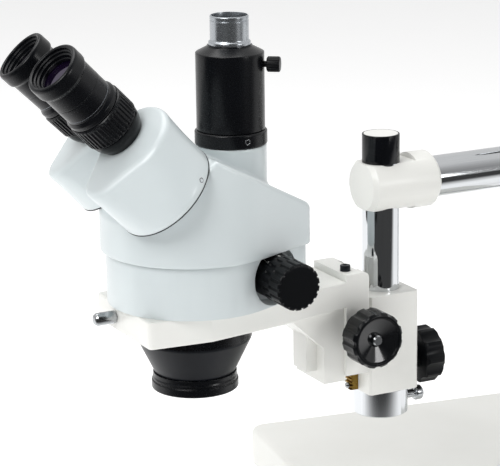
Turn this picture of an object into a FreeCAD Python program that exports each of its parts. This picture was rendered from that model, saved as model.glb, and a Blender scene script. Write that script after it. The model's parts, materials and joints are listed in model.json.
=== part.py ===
import FreeCAD, Part
import math
import os

# Stereo zoom microscope on a single-arm boom stand. Millimetres, +Z up.
# Origin: the pillar's axis at table level. The boom runs along X and the head hangs at its -X end.

# ---- Driving dimensions: stand ----
base_length = 254.0
base_width = 254.0
base_thickness = 28.0
base_corner = 12.0
base_edge = 4.0
base_turn = -8.5
base_bolt_recess_spare = 1.5
pillar_from_front = 191.5
foot_height = 2.5
foot_radius = 11.0
foot_inset = 24.0
centre_pad_radius = 22.0

pillar_radius = 16.0
pillar_length = 350.0
pillar_spigot_radius = 12.0
pillar_spigot_depth = 10.0
pillar_cap_height = 9.0
pillar_cap_plug_radius = 10.0
pillar_cap_plug_length = 10.0
pillar_bolt_radius = 5.0
pillar_bolt_reach = 24.0
pillar_bolt_head_radius = 8.0
pillar_bolt_head_height = 8.0

boom_height = 259.0
boom_offset = 34.0
boom_radius = 14.2
boom_length = 480.0
boom_wall = 3.0
boom_cap_thickness = 3.0
boom_cap_plug_length = 14.0

clamp_length = 52.0
clamp_height = 60.0
clamp_wall = 9.0
clamp_edge = 5.0
clamp_knob_radius = 17.0
clamp_knob_length = 16.0
clamp_knob_gap = 9.0
clamp_stud_radius = 4.0

lift_collar_radius = 26.0
lift_collar_height = 22.0

# ---- Driving dimensions: tee block, post and focus mount ----
post_reach = 165.0
post_radius = 12.7
post_drop = 160.0
post_spigot_radius = 9.0
post_spigot_length = 12.0
post_cap_height = 19.4
cap_disc_radius = 11.5
cap_disc_thickness = 1.0

tee_radius = 19.2
tee_half_height = 15.5
tee_front = 15.0
tee_back = 38.0
tee_flat_end = 21.0
tee_edge = 3.0
boom_end_gap = 3.3

stop_collar_radius = 18.9
stop_collar_height = 19.0
thumbscrew_shank_radius = 3.0
thumbscrew_head_radius = 5.2
thumbscrew_head_length = 6.5
thumbscrew_neck_length = 7.5

block_front = 20.0
block_back = 18.0
block_half_width = 20.0
block_height = 69.0
block_edge = 1.5
post_knob_radius = 19.5
post_knob_length = 14.0
post_knob_gap = 9.0
post_knob_height = 16.0

rail_bottom = 40.0
rail_depth = 6.0
rail_root_half = 9.0
rail_tip_half = 12.0
rack_half_width = 4.0
rack_seat_depth = 2.0
rack_length = 66.0
rack_rise = 0.3
stop_screw_shank = 1.0
stop_screw_head = 2.2
stop_screw_rise = 2.6
rack_body = 7.0
focus_module = 0.8
focus_teeth = 16

slide_gap = 2.0
slide_depth = 17.5
slide_half_width = 22.0
slide_bottom = 37.0
slide_top = 107.0
slide_round = 3.5
bracket_screw_inset = 12.0
bracket_screw_side = 11.0
bracket_screw_radius = 3.5
bracket_screw_height = 4.0
bracket_screw_shank_radius = 2.0
bracket_screw_depth = 10.0
pinion_height = 68.0
web_front = 55.0
web_bottom = 33.0
web_knee = 58.0
web_toe = 85.0
web_half_width = 19.0
rib_front = 63.0
rib_bottom = 40.0
rib_half_width = 9.0

head_reach = 141.4
plate_bottom = 84.4
plate_top = 102.5
plate_front = 192.2
plate_front_half = 40.0
plate_wide_x = 150.0
plate_wide_half = 44.0
plate_neck_x = 92.0
plate_neck_half = 35.0
plate_corner = 3.0
plate_edge = 1.2
ring_radius = 38.0

focus_knob_radius = 19.0
focus_knob_length = 18.0
focus_hub_radius = 9.0
focus_hub_length = 11.0
focus_dish_depth = 4.0
focus_lip_width = 3.5
focus_cap_radius = 3.6
focus_cap_length = 3.0
focus_cap_skin = 0.8
focus_shaft_radius = 4.0
focus_shaft_end = 2.5

head_screw_radius = 4.3
head_screw_length = 15.0
head_screw_side = 11.0
head_screw_neck = 0.6
head_screw_shank_radius = 2.5

# ---- Driving dimensions: microscope head ----
lower_radius = 56.0
lower_top = 136.6
lower_back = 74.0
lower_back_half = 33.0
upper_radius = 59.5
upper_bottom = 137.0
upper_back = 72.0
upper_back_half = 35.0
upper_corner = 9.0
roof_back_height = 162.6
roof_ridge_height = 204.0
roof_ridge_x = 149.5
casting_wall = 3.0
floor_thickness = 3.5

spigot_bottom = 77.0
spigot_inner_radius = 31.0
cone_bottom = 53.0
cone_low_radius = 26.5
cone_top_radius = 37.4
cone_wall = 3.0
cone_web_height = 56.0
cone_web_thickness = 4.0
objective_bottom = 41.8
objective_step = 49.0
objective_radius = 28.5
objective_upper_radius = 27.5
objective_groove_depth = 0.8
objective_bore_radius = 24.0
channel_half = 12.0
objective_lens_radius = 10.5
objective_lens_thickness = 5.0

zoom_axis_x = 105.0
zoom_axis_z = 122.0
zoom_shaft_radius = 3.0
zoom_knob_start = 31.0
zoom_knob_neck_length = 23.0
zoom_knob_grip_length = 23.0
zoom_knob_neck_radius = 14.6
zoom_knob_grip_radius = 15.2
zoom_knob_skin = 5.0
zoom_scoop_radius = 19.0
zoom_module = 0.6
zoom_teeth = 16
zoom_pinion_half = 7.0
carrier_thickness = 4.0
carrier_half_depth = 12.0
carrier_half_width = 36.0
low_carrier_z = 114.0
high_carrier_z = 136.0
zoom_lens_radius = 8.5
zoom_lens_thickness = 3.0
carrier_arm_half = 2.75
zoom_rack_body = 3.0
zoom_rack_half_length = 9.2
guide_rod_radius = 2.0
guide_rod_spacing = 32.0
guide_rod_top = 152.0

# Each prism housing turns on its own seat. The seats face 45 degrees up and lean apart by the toe-in.
# seat_s is measured along the 45 degree direction and seat_w square to it, in the plane of symmetry.
toe_in = 6.0
seat_s = 254.7
seat_w = 5.7
seat_half_spacing = 34.2
seat_wall = 4.0
pivot_radius = 9.5
pivot_light_radius = 6.5
drum_radius = 34.0
drum_height = 5.0
housing_height = 37.5
housing_wall = 3.0
housing_floor = 4.0
housing_round = 2.5
crown_radius = 26.5
crown_up = 10.8
crown_in = 8.9
chin_radius = 13.0
chin_down = 21.2
chin_in = 7.6
drum_split = 100.0
chin_split = 40.0
eye_up = 9.8
eye_in = 19.85
prism_half = 7.0

eye_tube_radius = 15.6
eye_tube_insert_radius = 14.5
eye_tube_insert_length = 7.0
eye_skirt_foot_radius = 15.2
eye_skirt_radius = 18.2
eye_skirt_length = 10.5
eyepiece_spigot_radius = 13.2
eyepiece_spigot_length = 16.0
diopter_radius = 19.1
diopter_length = 17.2
eyepiece_collar_radius = 18.4
eyepiece_collar_length = 5.7
eyepiece_barrel_radius = 17.0
eyepiece_rim_radius = 18.4
eyepiece_rim_length = 11.0
eyepiece_length = 41.0
eyepiece_wall = 2.0
eye_lens_radius = 11.8
eye_lens_thickness = 4.0
eye_lens_inset = 9.0

port_x = 112.2
port_neck_radius = 23.0
port_neck_top = 201.0
port_neck_bore = 19.0
port_ring_radius = 23.5
port_ring_height = 9.5
port_ring_wall = 3.0
port_ring_spigot = 6.0
port_body_radius = 22.1
port_body_top = 260.7
port_shoulder_top = 265.3
port_shoulder_radius = 14.6
port_spigot_depth = 8.0
photo_tube_radius = 12.5
photo_tube_bore = 11.6
photo_tube_top = 284.4
photo_tube_insert = 26.0
photo_flange_radius = 13.6
photo_flange_height = 2.7
photo_groove_drop = 3.2
photo_groove_width = 0.6
photo_screw_height = 253.0
photo_screw_turn = -37.0
photo_screw_head_radius = 5.0
photo_screw_head_length = 8.5
photo_screw_neck = 2.0
photo_screw_shank_radius = 2.0
splitter_side = 26.4
splitter_height = 165.0

# ---- Fits ----
running_fit = 0.05
body_gap = 0.3
loose_gap = 0.6

ORIGIN = FreeCAD.Vector(0, 0, 0)
X_AXIS = FreeCAD.Vector(1, 0, 0)
Y_AXIS = FreeCAD.Vector(0, 1, 0)
Z_AXIS = FreeCAD.Vector(0, 0, 1)

base_top = foot_height + base_thickness
post_end_height = boom_height - post_drop
head_origin = FreeCAD.Vector(-post_reach, -boom_offset, post_end_height)
focus_pitch_radius = focus_module * focus_teeth / 2
zoom_pitch_radius = zoom_module * zoom_teeth / 2
rack_pitch_x = -(block_front - rack_seat_depth + rack_body)
pinion_x = rack_pitch_x - focus_pitch_radius


# ---- Shape helpers ----
def vec(x, y, z):
    return FreeCAD.Vector(x, y, z)


def rod(radius, length, start=ORIGIN, direction=Z_AXIS):
    return Part.makeCylinder(radius, length, start, direction)


def block(x0, x1, y0, y1, z0, z1):
    return Part.makeBox(x1 - x0, y1 - y0, z1 - z0, vec(x0, y0, z0))


def aim(shape, start, direction):
    """Carry a shape built about +Z to a start point, with its +Z turned to a direction."""
    moved = shape.copy()
    moved.Placement = FreeCAD.Placement(start, FreeCAD.Rotation(Z_AXIS, direction))
    return moved


def turned(profile, start=ORIGIN, direction=Z_AXIS):
    """A body of revolution from (radius, distance) points, laid along a direction from a start point."""
    points = [vec(r, 0, s) for r, s in profile]
    face = Part.Face(Part.makePolygon(points + points[:1]))
    return aim(face.revolve(ORIGIN, Z_AXIS, 360), start, direction)


def extruded(points, rise):
    """A prism on a closed outline of 3-D points, raised by a vector."""
    return Part.Face(Part.makePolygon(points + points[:1])).extrude(rise)


def upright_edges(shape):
    straight = [e for e in shape.Edges if e.Curve.TypeId == "Part::GeomLine"]
    return [e for e in straight if abs(e.tangentAt(e.FirstParameter).z) > 0.999]


def edges_at_height(shape, z):
    return [e for e in shape.Edges if abs(e.BoundBox.ZMin - z) < 0.01 and abs(e.BoundBox.ZMax - z) < 0.01]


def fluted(radius, length, flutes, flute_radius, depth):
    """A round grip about +Z with scooped flutes along its length."""
    grip = Part.makeCylinder(radius, length)
    scoops = []
    for i in range(flutes):
        angle = 2 * math.pi * i / flutes
        reach = radius + flute_radius - depth
        scoops.append(rod(flute_radius, length, vec(reach * math.cos(angle), reach * math.sin(angle), 0)))
    return grip.cut(Part.makeCompound(scoops))


def bevelled(shape, radius, length, bevel):
    """Keep what lies inside a cylinder with bevelled ends, so a grip's rims are broken."""
    keep = turned([(0, 0), (radius - bevel, 0), (radius, bevel), (radius, length - bevel),
                   (radius - bevel, length), (0, length)])
    return shape.common(keep)


def toe_axis(side):
    """The direction of one eyepiece: 45 degrees up and back to the user, leaning outwards by the toe-in."""
    lean = math.radians(toe_in)
    level = math.cos(lean) / math.sqrt(2)
    return vec(-level, side * math.sin(lean), level)


def seat_place(side):
    """The frame of one housing: +Z along its eyepiece's direction, +X up the seat, +Y to the object's left."""
    pivot = vec((seat_w - seat_s) / math.sqrt(2), side * seat_half_spacing, (seat_w + seat_s) / math.sqrt(2))
    up = vec(1, 0, 1).normalize()
    axis = toe_axis(side)
    return FreeCAD.Placement(pivot, FreeCAD.Rotation(up, axis.cross(up), axis, "ZXY"))


def on_seat(shape, side, height=0.0):
    """Carry a shape built in the frame of one housing to its place, a height above the seat."""
    moved = shape.copy()
    moved.translate(vec(0, 0, height))
    moved.Placement = seat_place(side).multiply(moved.Placement)
    return moved


def involute_pinion(teeth, module, width):
    """A 20 degree involute pinion about +Z, thinned a little so that it turns freely on its rack."""
    pressure = math.radians(20)
    pitch = module * teeth / 2
    base = pitch * math.cos(pressure)
    tip = pitch + 0.8 * module
    root = pitch - 1.15 * module
    play = 0.06
    half_at_pitch = math.pi / 2 / teeth - play / pitch
    inv_pitch = math.tan(pressure) - pressure
    steps = 4
    flank = []
    for i in range(steps + 1):
        radius = base + (tip - base) * i / steps
        press = math.acos(min(1.0, base / radius))
        flank.append((radius, half_at_pitch + inv_pitch - (math.tan(press) - press)))
    flank.insert(0, (root, flank[0][1]))
    outline = []
    for tooth in range(teeth):
        centre = 2 * math.pi * tooth / teeth
        side = [(r, centre - a) for r, a in flank] + [(r, centre + a) for r, a in reversed(flank)]
        outline += [vec(r * math.cos(a), r * math.sin(a), 0) for r, a in side]
    return extruded(outline, vec(0, 0, width))


def rack_outline(pitches, module, body):
    """Rack teeth along +Z as (x, z): the pitch line is x = 0, the teeth point to -x, and a gap is at z = 0."""
    pitch = math.pi * module
    slope = math.tan(math.radians(20))
    tip = 0.8 * module
    root = 1.15 * module
    half = pitch / 4
    points = [(body, -(pitches + 0.5) * pitch)]
    for i in range(-pitches, pitches):
        centre = (i + 0.5) * pitch
        points += [(root, centre - half - root * slope), (-tip, centre - half + tip * slope),
                   (-tip, centre + half - tip * slope), (root, centre + half + root * slope)]
    points.append((body, (pitches + 0.5) * pitch))
    return points


def toothed_bar(module, body, pitches, y0, y1, sign, pitch_x, mid_z, low, high):
    """A rack bar between two heights, with its teeth facing -sign along X."""
    shape = [vec(pitch_x + sign * x, y0, mid_z + z) for x, z in rack_outline(pitches, module, body)]
    bar = extruded(shape, vec(0, y1 - y0, 0))
    reach = body + 2 * module
    return bar.common(block(pitch_x - reach, pitch_x + reach, y0, y1, low, high))


# ---- Stand ----
def base_plan_point(x, y):
    """A point of the base, given square to its edges from the pillar, turned to the way the base lies."""
    turn = math.radians(base_turn)
    return x * math.cos(turn) - y * math.sin(turn), x * math.sin(turn) + y * math.cos(turn)


def base_plate():
    front = -pillar_from_front
    plate = block(front, front + base_length, -base_width / 2, base_width / 2, foot_height, base_top)
    plate = plate.makeFillet(base_corner, upright_edges(plate))
    plate = plate.makeFillet(base_edge, edges_at_height(plate, base_top))
    spigot_hole = rod(pillar_spigot_radius + running_fit, pillar_spigot_depth,
                      vec(0, 0, base_top - pillar_spigot_depth))
    bolt_hole = rod(pillar_bolt_radius + loose_gap, base_top, vec(0, 0, 0))
    head_recess = rod(pillar_bolt_head_radius + 2 * loose_gap, bolt_head_top(), vec(0, 0, 0))
    plate = plate.cut(spigot_hole.fuse([bolt_hole, head_recess]))
    plate.rotate(vec(0, 0, 0), Z_AXIS, base_turn)
    return plate


def bolt_head_top():
    return foot_height + pillar_bolt_head_height + base_bolt_recess_spare


def rubber_feet():
    feet = []
    front = foot_inset - pillar_from_front
    back = base_length - pillar_from_front - foot_inset
    side = base_width / 2 - foot_inset
    for x in (front, back):
        for y in (-side, side):
            px, py = base_plan_point(x, y)
            feet.append(turned([(0, 0), (foot_radius - 1, 0), (foot_radius, 1), (foot_radius, foot_height),
                                (0, foot_height)], vec(px, py, 0)))
    pad_bore = pillar_bolt_head_radius + 4
    feet.append(turned([(pad_bore, 0), (centre_pad_radius, 0), (centre_pad_radius, foot_height),
                        (pad_bore, foot_height)]))
    return Part.makeCompound(feet)


def pillar():
    top = base_top + pillar_length
    column = turned([(0, base_top - pillar_spigot_depth), (pillar_spigot_radius, base_top - pillar_spigot_depth),
                     (pillar_spigot_radius, base_top), (pillar_radius, base_top), (pillar_radius, top),
                     (0, top)])
    tapped = rod(pillar_bolt_radius + running_fit, pillar_bolt_reach, vec(0, 0, 0))
    tapped.translate(vec(0, 0, base_top - pillar_spigot_depth))
    plug_hole = rod(pillar_cap_plug_radius + running_fit, pillar_cap_plug_length + 1,
                    vec(0, 0, top - pillar_cap_plug_length - 1))
    return column.cut(tapped.fuse(plug_hole))


def pillar_cap():
    top = base_top + pillar_length
    rim = pillar_radius - 2
    return turned([(0, top - pillar_cap_plug_length), (pillar_cap_plug_radius, top - pillar_cap_plug_length),
                   (pillar_cap_plug_radius, top), (pillar_radius, top),
                   (pillar_radius, top + pillar_cap_height - 2), (rim, top + pillar_cap_height),
                   (0, top + pillar_cap_height)])


def pillar_bolt():
    shank_top = base_top - pillar_spigot_depth + pillar_bolt_reach - 2
    head_low = bolt_head_top() - pillar_bolt_head_height
    bolt = turned([(0, head_low), (pillar_bolt_head_radius, head_low), (pillar_bolt_head_radius, bolt_head_top()),
                   (pillar_bolt_radius, bolt_head_top()), (pillar_bolt_radius, shank_top), (0, shank_top)])
    half = pillar_bolt_head_radius / 2
    return bolt.cut(hex_socket(half, half, vec(0, 0, head_low), Z_AXIS))


def hex_socket(half_width, depth, start, direction):
    corner = half_width / math.cos(math.pi / 6)
    points = [vec(corner * math.cos(k * math.pi / 3), corner * math.sin(k * math.pi / 3), 0) for k in range(6)]
    return aim(extruded(points, vec(0, 0, depth)), start, direction)


def clamp_bottom():
    return boom_height - clamp_height / 2


def lift_collar():
    low = clamp_bottom() - lift_collar_height
    collar = turned([(pillar_radius + running_fit, low), (lift_collar_radius - 1, low),
                     (lift_collar_radius, low + 1), (lift_collar_radius, clamp_bottom() - 1),
                     (lift_collar_radius - 1, clamp_bottom()), (pillar_radius + running_fit, clamp_bottom())])
    hole = rod(thumbscrew_shank_radius + running_fit, lift_collar_radius, vec(0, 0, lift_collar_mid()), -X_AXIS)
    return collar.cut(hole)


def lift_collar_mid():
    return clamp_bottom() - lift_collar_height / 2


def thumbscrew(bore_radius, face_radius, start, direction):
    """A collar's thumbscrew: its shank ends just short of the bar and its head stands off the collar."""
    tip = bore_radius + body_gap
    neck_end = face_radius + thumbscrew_neck_length
    head_end = neck_end + thumbscrew_head_length
    head = thumbscrew_head_radius
    return turned([(0, tip), (thumbscrew_shank_radius, tip), (thumbscrew_shank_radius, neck_end),
                   (head - 1, neck_end), (head, neck_end + 1), (head, head_end - 1.5), (head - 1.5, head_end),
                   (0, head_end)], start, direction)


def lift_collar_screw():
    return thumbscrew(pillar_radius, lift_collar_radius, vec(0, 0, lift_collar_mid()), -X_AXIS)


def boom_clamp():
    half = clamp_length / 2
    y_front = -boom_offset - boom_radius - clamp_wall
    y_back = pillar_radius + clamp_wall
    body = block(-half, half, y_front, y_back, clamp_bottom(), clamp_bottom() + clamp_height)
    body = body.makeFillet(clamp_edge, body.Edges)
    pillar_bore = rod(pillar_radius + running_fit, 2 * clamp_height, vec(0, 0, boom_height - clamp_height))
    boom_bore = rod(boom_radius + running_fit, 2 * clamp_length, vec(-clamp_length, -boom_offset, boom_height),
                    X_AXIS)
    pillar_stud = rod(clamp_stud_radius + running_fit, clamp_length, vec(0, 0, boom_height), X_AXIS)
    boom_stud = rod(clamp_stud_radius + running_fit, clamp_length, vec(0, -boom_offset, boom_height), -Y_AXIS)
    return body.cut(pillar_bore.fuse([boom_bore, pillar_stud, boom_stud]))


def star_knob(radius, length, stud_radius, stud_start, knob_start, flutes=8):
    """A clamping knob about +Z: threaded stud, plain neck and fluted grip with a dished face."""
    rim = fluted(radius, length, flutes, flute_radius=0.42 * radius, depth=0.11 * radius)
    grip = bevelled(rim, radius, length, bevel=1.5)
    grip.translate(vec(0, 0, knob_start))
    neck = rod(radius * 0.45, knob_start - stud_start[1], vec(0, 0, stud_start[1]))
    stud = rod(stud_radius, knob_start - stud_start[0], vec(0, 0, stud_start[0]))
    dish = turned([(0, 0), (radius * 0.3, 0), (radius * 0.74, 3), (0, 3)], vec(0, 0, knob_start + length - 2.5))
    return grip.fuse([neck, stud]).cut(dish).removeSplitter()


def pillar_clamp_knob():
    face = clamp_length / 2
    knob = star_knob(clamp_knob_radius, clamp_knob_length, clamp_stud_radius,
                     (pillar_radius + body_gap, face + body_gap), face + clamp_knob_gap)
    return aim(knob, vec(0, 0, boom_height), X_AXIS)


def boom_clamp_knob():
    face = boom_radius + clamp_wall
    knob = star_knob(clamp_knob_radius, clamp_knob_length, clamp_stud_radius,
                     (boom_radius + body_gap, face + body_gap), face + clamp_knob_gap)
    return aim(knob, vec(0, -boom_offset, boom_height), -Y_AXIS)


def boom_start():
    return post_radius + boom_end_gap - post_reach


def boom_arm():
    start = vec(boom_start(), -boom_offset, boom_height)
    tube = rod(boom_radius, boom_length, start, X_AXIS)
    return tube.cut(rod(boom_radius - boom_wall, boom_length, start, X_AXIS))


def boom_end_cap():
    plug = boom_radius - boom_wall - running_fit
    low = -boom_cap_plug_length
    cap = turned([(0, low), (plug, low), (plug, 0), (boom_radius, 0), (boom_radius, boom_cap_thickness - 1),
                  (boom_radius - 1, boom_cap_thickness), (0, boom_cap_thickness)])
    return aim(cap, vec(boom_start() + boom_length, -boom_offset, boom_height), X_AXIS)


# ---- Tee block and post, drawn from the post's lower end and lifted to their place at export ----
def tee_block():
    low = -tee_front
    high = tee_back
    bar = turned([(0, low), (tee_radius - tee_edge, low), (tee_radius, low + tee_edge),
                  (tee_radius, high - tee_edge), (tee_radius - tee_edge, high), (0, high)],
                 vec(0, 0, post_drop), X_AXIS)
    for side in (-1, 1):
        inner = post_drop + side * tee_half_height
        outer = post_drop + side * 2 * tee_radius
        flat = block(2 * low, tee_flat_end, -2 * tee_radius, 2 * tee_radius, min(inner, outer), max(inner, outer))
        bar = bar.cut(flat)
    post_bore = rod(post_radius + running_fit, 4 * tee_radius, vec(0, 0, post_drop - 2 * tee_radius))
    boom_bore = rod(boom_radius + running_fit, high, vec(post_radius + boom_end_gap - body_gap, 0, post_drop),
                    X_AXIS)
    return bar.cut(post_bore.fuse(boom_bore))


def post_top():
    return post_drop + tee_half_height


def post():
    spigot_top = post_top() + post_spigot_length
    return turned([(0, 0), (post_radius - 1, 0), (post_radius, 1), (post_radius, post_top()),
                   (post_spigot_radius, post_top()), (post_spigot_radius, spigot_top), (0, spigot_top)])


def post_cap():
    low = post_top()
    high = low + post_cap_height
    bore = post_spigot_radius + running_fit
    bore_top = low + post_spigot_length + body_gap
    seat = cap_disc_radius + running_fit
    return turned([(bore, low), (post_radius, low), (post_radius, high), (seat, high),
                   (seat, high - cap_disc_thickness), (0, high - cap_disc_thickness), (0, bore_top),
                   (bore, bore_top)])


def post_cap_disc():
    high = post_top() + post_cap_height
    return rod(cap_disc_radius, cap_disc_thickness, vec(0, 0, high - cap_disc_thickness))


def stop_collar():
    bore = post_radius + running_fit
    outer = stop_collar_radius
    high = stop_collar_height
    collar = turned([(bore, 0), (outer - 0.8, 0), (outer, 0.8), (outer, high - 0.8), (outer - 0.8, high),
                     (bore, high)])
    return collar.cut(rod(thumbscrew_shank_radius + running_fit, 2 * outer, collar_screw_start(), X_AXIS))


def collar_screw_start():
    return vec(0, 0, stop_collar_height * 0.4)


def stop_collar_screw():
    return thumbscrew(post_radius, stop_collar_radius, collar_screw_start(), X_AXIS)


# ---- Focus mount ----
def rail_profile(grow):
    """The dovetail's plan outline beyond the block's front face, grown by a clearance."""
    root = -block_front + grow
    tip = -block_front - rail_depth - grow
    return [vec(root, rail_root_half + grow, 0), vec(tip, rail_tip_half + grow, 0),
            vec(tip, -rail_tip_half - grow, 0), vec(root, -rail_root_half - grow, 0)]


def post_block():
    low = stop_collar_height
    high = low + block_height
    body = block(-block_front, block_back, -block_half_width, block_half_width, low, high)
    body = body.makeChamfer(block_edge, upright_edges(body))
    rail = extruded(rail_profile(0), vec(0, 0, high - rail_bottom))
    rail.translate(vec(0, 0, rail_bottom))
    seat_back = rack_seat_depth - block_front
    slot_half = rack_half_width + running_fit
    rack_slot = block(-2 * block_front, seat_back, -slot_half, slot_half, low, high)
    post_bore = rod(post_radius + running_fit, 2 * block_height)
    stud_hole = rod(clamp_stud_radius + running_fit, 2 * block_back, post_knob_start(), X_AXIS)
    return body.fuse(rail).cut(rack_slot.fuse([post_bore, stud_hole])).removeSplitter()


def post_knob_start():
    return vec(0, 0, stop_collar_height + post_knob_height)


def post_clamp_knob():
    knob = star_knob(post_knob_radius, post_knob_length, clamp_stud_radius,
                     (post_radius + body_gap, block_back + body_gap), block_back + post_knob_gap, 10)
    return aim(knob, post_knob_start(), X_AXIS)


def rack_bottom():
    return stop_collar_height + rack_rise


def focus_rack():
    low = rack_bottom()
    pitches = int(rack_length / (math.pi * focus_module)) + 1
    half = rack_half_width
    bar = toothed_bar(focus_module, rack_body, pitches, -half, half, 1, rack_pitch_x, pinion_height, low,
                      low + rack_length)
    return bar.cut(rod(stop_screw_shank, rack_body, stop_screw_start(), X_AXIS))


def stop_screw_start():
    return vec(rack_pitch_x - focus_module, 0, rack_bottom() + stop_screw_rise)


def rack_stop_screw():
    """The small domed screw at the rack's lower end that keeps the pinion from running off it."""
    shank = rod(stop_screw_shank, rack_body - 1, stop_screw_start(), X_AXIS)
    ball = Part.makeSphere(stop_screw_head, stop_screw_start())
    dome = ball.cut(rod(2 * stop_screw_head, rack_body, stop_screw_start(), X_AXIS))
    return shank.fuse(dome).removeSplitter()


def slide_back():
    return -block_front - slide_gap


def ring_plate():
    """The arm in plan: a flat front, widest beside the head, narrowing back to the focus slide."""
    half = slide_half_width
    near = [vec(-plate_front, -plate_front_half, plate_bottom), vec(-plate_wide_x, -plate_wide_half, plate_bottom),
            vec(-plate_neck_x, -plate_neck_half, plate_bottom), vec(slide_front(), -half, plate_bottom)]
    far = [vec(p.x, -p.y, p.z) for p in reversed(near)]
    plate = extruded(near + far, vec(0, 0, plate_top - plate_bottom))
    corners = [e for e in upright_edges(plate) if e.BoundBox.XMax < slide_front() - 1]
    plate = plate.makeFillet(plate_corner, corners)
    return plate.makeFillet(plate_edge, edges_at_height(plate, plate_top) + edges_at_height(plate, plate_bottom))


def slide_front():
    return slide_back() - slide_depth


def slide_body():
    body = block(slide_front(), slide_back(), -slide_half_width, slide_half_width, slide_bottom, slide_top)
    top_back = [e for e in body.Edges if abs(e.BoundBox.XMin - slide_back()) < 0.01
                and abs(e.BoundBox.ZMin - slide_top) < 0.01]
    return body.makeFillet(slide_round, top_back)


def bracket_web():
    """The gusset under the arm: cheeks with a slanted front edge, and a deeper rib in the middle."""
    inner = slide_front() + 1
    side = [vec(inner, -web_half_width, web_bottom), vec(-web_front, -web_half_width, web_bottom),
            vec(-web_front, -web_half_width, web_knee), vec(-web_toe, -web_half_width, plate_bottom + 1),
            vec(inner, -web_half_width, plate_bottom + 1)]
    web = extruded(side, vec(0, 2 * web_half_width, 0))
    rib = block(-rib_front, inner, -rib_half_width, rib_half_width, rib_bottom, plate_bottom + 1)
    return web.fuse(rib)


def bracket_screw_place():
    return vec(slide_back() - bracket_screw_inset, -bracket_screw_side, slide_top)


def focus_bracket():
    body = slide_body().fuse([ring_plate(), bracket_web()])
    ring = rod(ring_radius, 2 * slide_top, vec(-head_reach, 0, 0))
    dovetail = extruded(rail_profile(body_gap), vec(0, 0, 2 * slide_top))
    pinion_bore = rod(pinion_journal() + running_fit, 4 * slide_half_width,
                      vec(pinion_x, -2 * slide_half_width, pinion_height), Y_AXIS)
    clamp_hole = rod(head_screw_shank_radius + running_fit, plate_front - head_reach, head_screw_place(), X_AXIS)
    screw_bottom = bracket_screw_place() - vec(0, 0, bracket_screw_depth + loose_gap)
    screw_hole = rod(bracket_screw_shank_radius + running_fit, slide_top, screw_bottom)
    room_half = rack_half_width + loose_gap
    room_front = rack_pitch_x - focus_module - stop_screw_head - loose_gap
    rack_room = block(room_front, 0, -room_half, room_half, 0, 2 * slide_top)
    return body.cut(ring.fuse([dovetail, pinion_bore, clamp_hole, screw_hole, rack_room])).removeSplitter()


def head_screw_place():
    return vec(-plate_front - head_screw_shank_radius, head_screw_side, (plate_bottom + plate_top) / 2)


def bracket_screw():
    """Black socket-head screw that locks the slide's wear strip, seated on the slide's top."""
    place = bracket_screw_place()
    shank = bracket_screw_shank_radius
    r = bracket_screw_radius
    high = bracket_screw_height
    edge = 0.1 * high
    screw = turned([(0, -bracket_screw_depth), (shank, -bracket_screw_depth), (shank, 0), (r, 0), (r, high - edge),
                    (r - edge, high), (0, high)], place)
    return screw.cut(hex_socket(0.43 * r, high, place + vec(0, 0, high / 2), Z_AXIS))


def pinion_journal():
    return focus_pitch_radius + 1.15 * focus_module


def pinion_shaft():
    half_teeth = rack_half_width - body_gap
    journal = pinion_journal()
    half = slide_half_width
    face = half + focus_hub_length + focus_knob_length - focus_dish_depth
    reach = face + focus_cap_length - focus_cap_skin
    teeth = involute_pinion(focus_teeth, focus_module, 2 * half_teeth)
    teeth.translate(vec(0, 0, -half_teeth))
    waist = rail_tip_half + 1
    r = focus_shaft_radius
    end = [(0, half_teeth), (r, half_teeth), (r, waist), (journal, waist), (journal, half), (r, half),
           (r, face), (focus_shaft_end, face), (focus_shaft_end, reach), (0, reach)]
    ends = [turned(end, ORIGIN, vec(0, 0, side)) for side in (-1, 1)]
    shaft = teeth.fuse(ends)
    return aim(shaft, vec(pinion_x, 0, pinion_height), -Y_AXIS)


def focus_knob(side):
    """Large coarse-focus knob: fluted rim, raised lip and a dished face round the cap nut."""
    length = focus_knob_length
    lip = focus_knob_radius - focus_lip_width
    rim = fluted(focus_knob_radius, length, flutes=12, flute_radius=9.0, depth=1.1)
    grip = bevelled(rim, focus_knob_radius, length, bevel=1.8)
    dish = turned([(0, length - focus_dish_depth), (focus_cap_radius + 1, length - focus_dish_depth),
                   (lip, length - 1), (lip, length), (0, length)])
    hub = rod(focus_hub_radius, focus_hub_length - body_gap, vec(0, 0, body_gap - focus_hub_length))
    bore = rod(focus_shaft_radius + running_fit, 2 * length + focus_hub_length, vec(0, 0, -focus_hub_length))
    knob = grip.fuse(hub).cut(dish.fuse(bore)).removeSplitter()
    start = slide_half_width + focus_hub_length
    return aim(knob, vec(pinion_x, side * start, pinion_height), side * Y_AXIS)


def focus_cap_nuts():
    face = slide_half_width + focus_hub_length + focus_knob_length - focus_dish_depth
    high = focus_cap_length
    r = focus_cap_radius
    bore = focus_shaft_end + running_fit
    nut = turned([(bore, 0), (r, 0), (r, high - 0.8), (r - 0.8, high), (0, high), (0, high - focus_cap_skin),
                  (bore, high - focus_cap_skin)])
    return Part.makeCompound([aim(nut, vec(pinion_x, side * face, pinion_height), side * Y_AXIS)
                              for side in (-1, 1)])


def head_clamp_screw():
    """Slim chrome thumbscrew that holds the head in the ring; its end is domed."""
    place = vec(-head_reach, head_screw_side, (plate_bottom + plate_top) / 2)
    shank = head_screw_shank_radius
    tip = math.sqrt(ring_radius ** 2 - (head_screw_side - shank) ** 2) + body_gap
    neck_end = plate_front - head_reach + head_screw_neck
    head_end = neck_end + head_screw_length
    r = head_screw_radius
    return turned([(0, tip), (shank, tip), (shank, neck_end), (r - 0.6, neck_end), (r, neck_end + 0.6),
                   (r, head_end - 2.5), (r * 0.75, head_end - 0.7), (r * 0.35, head_end), (0, head_end)],
                  place, -X_AXIS)


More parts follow.
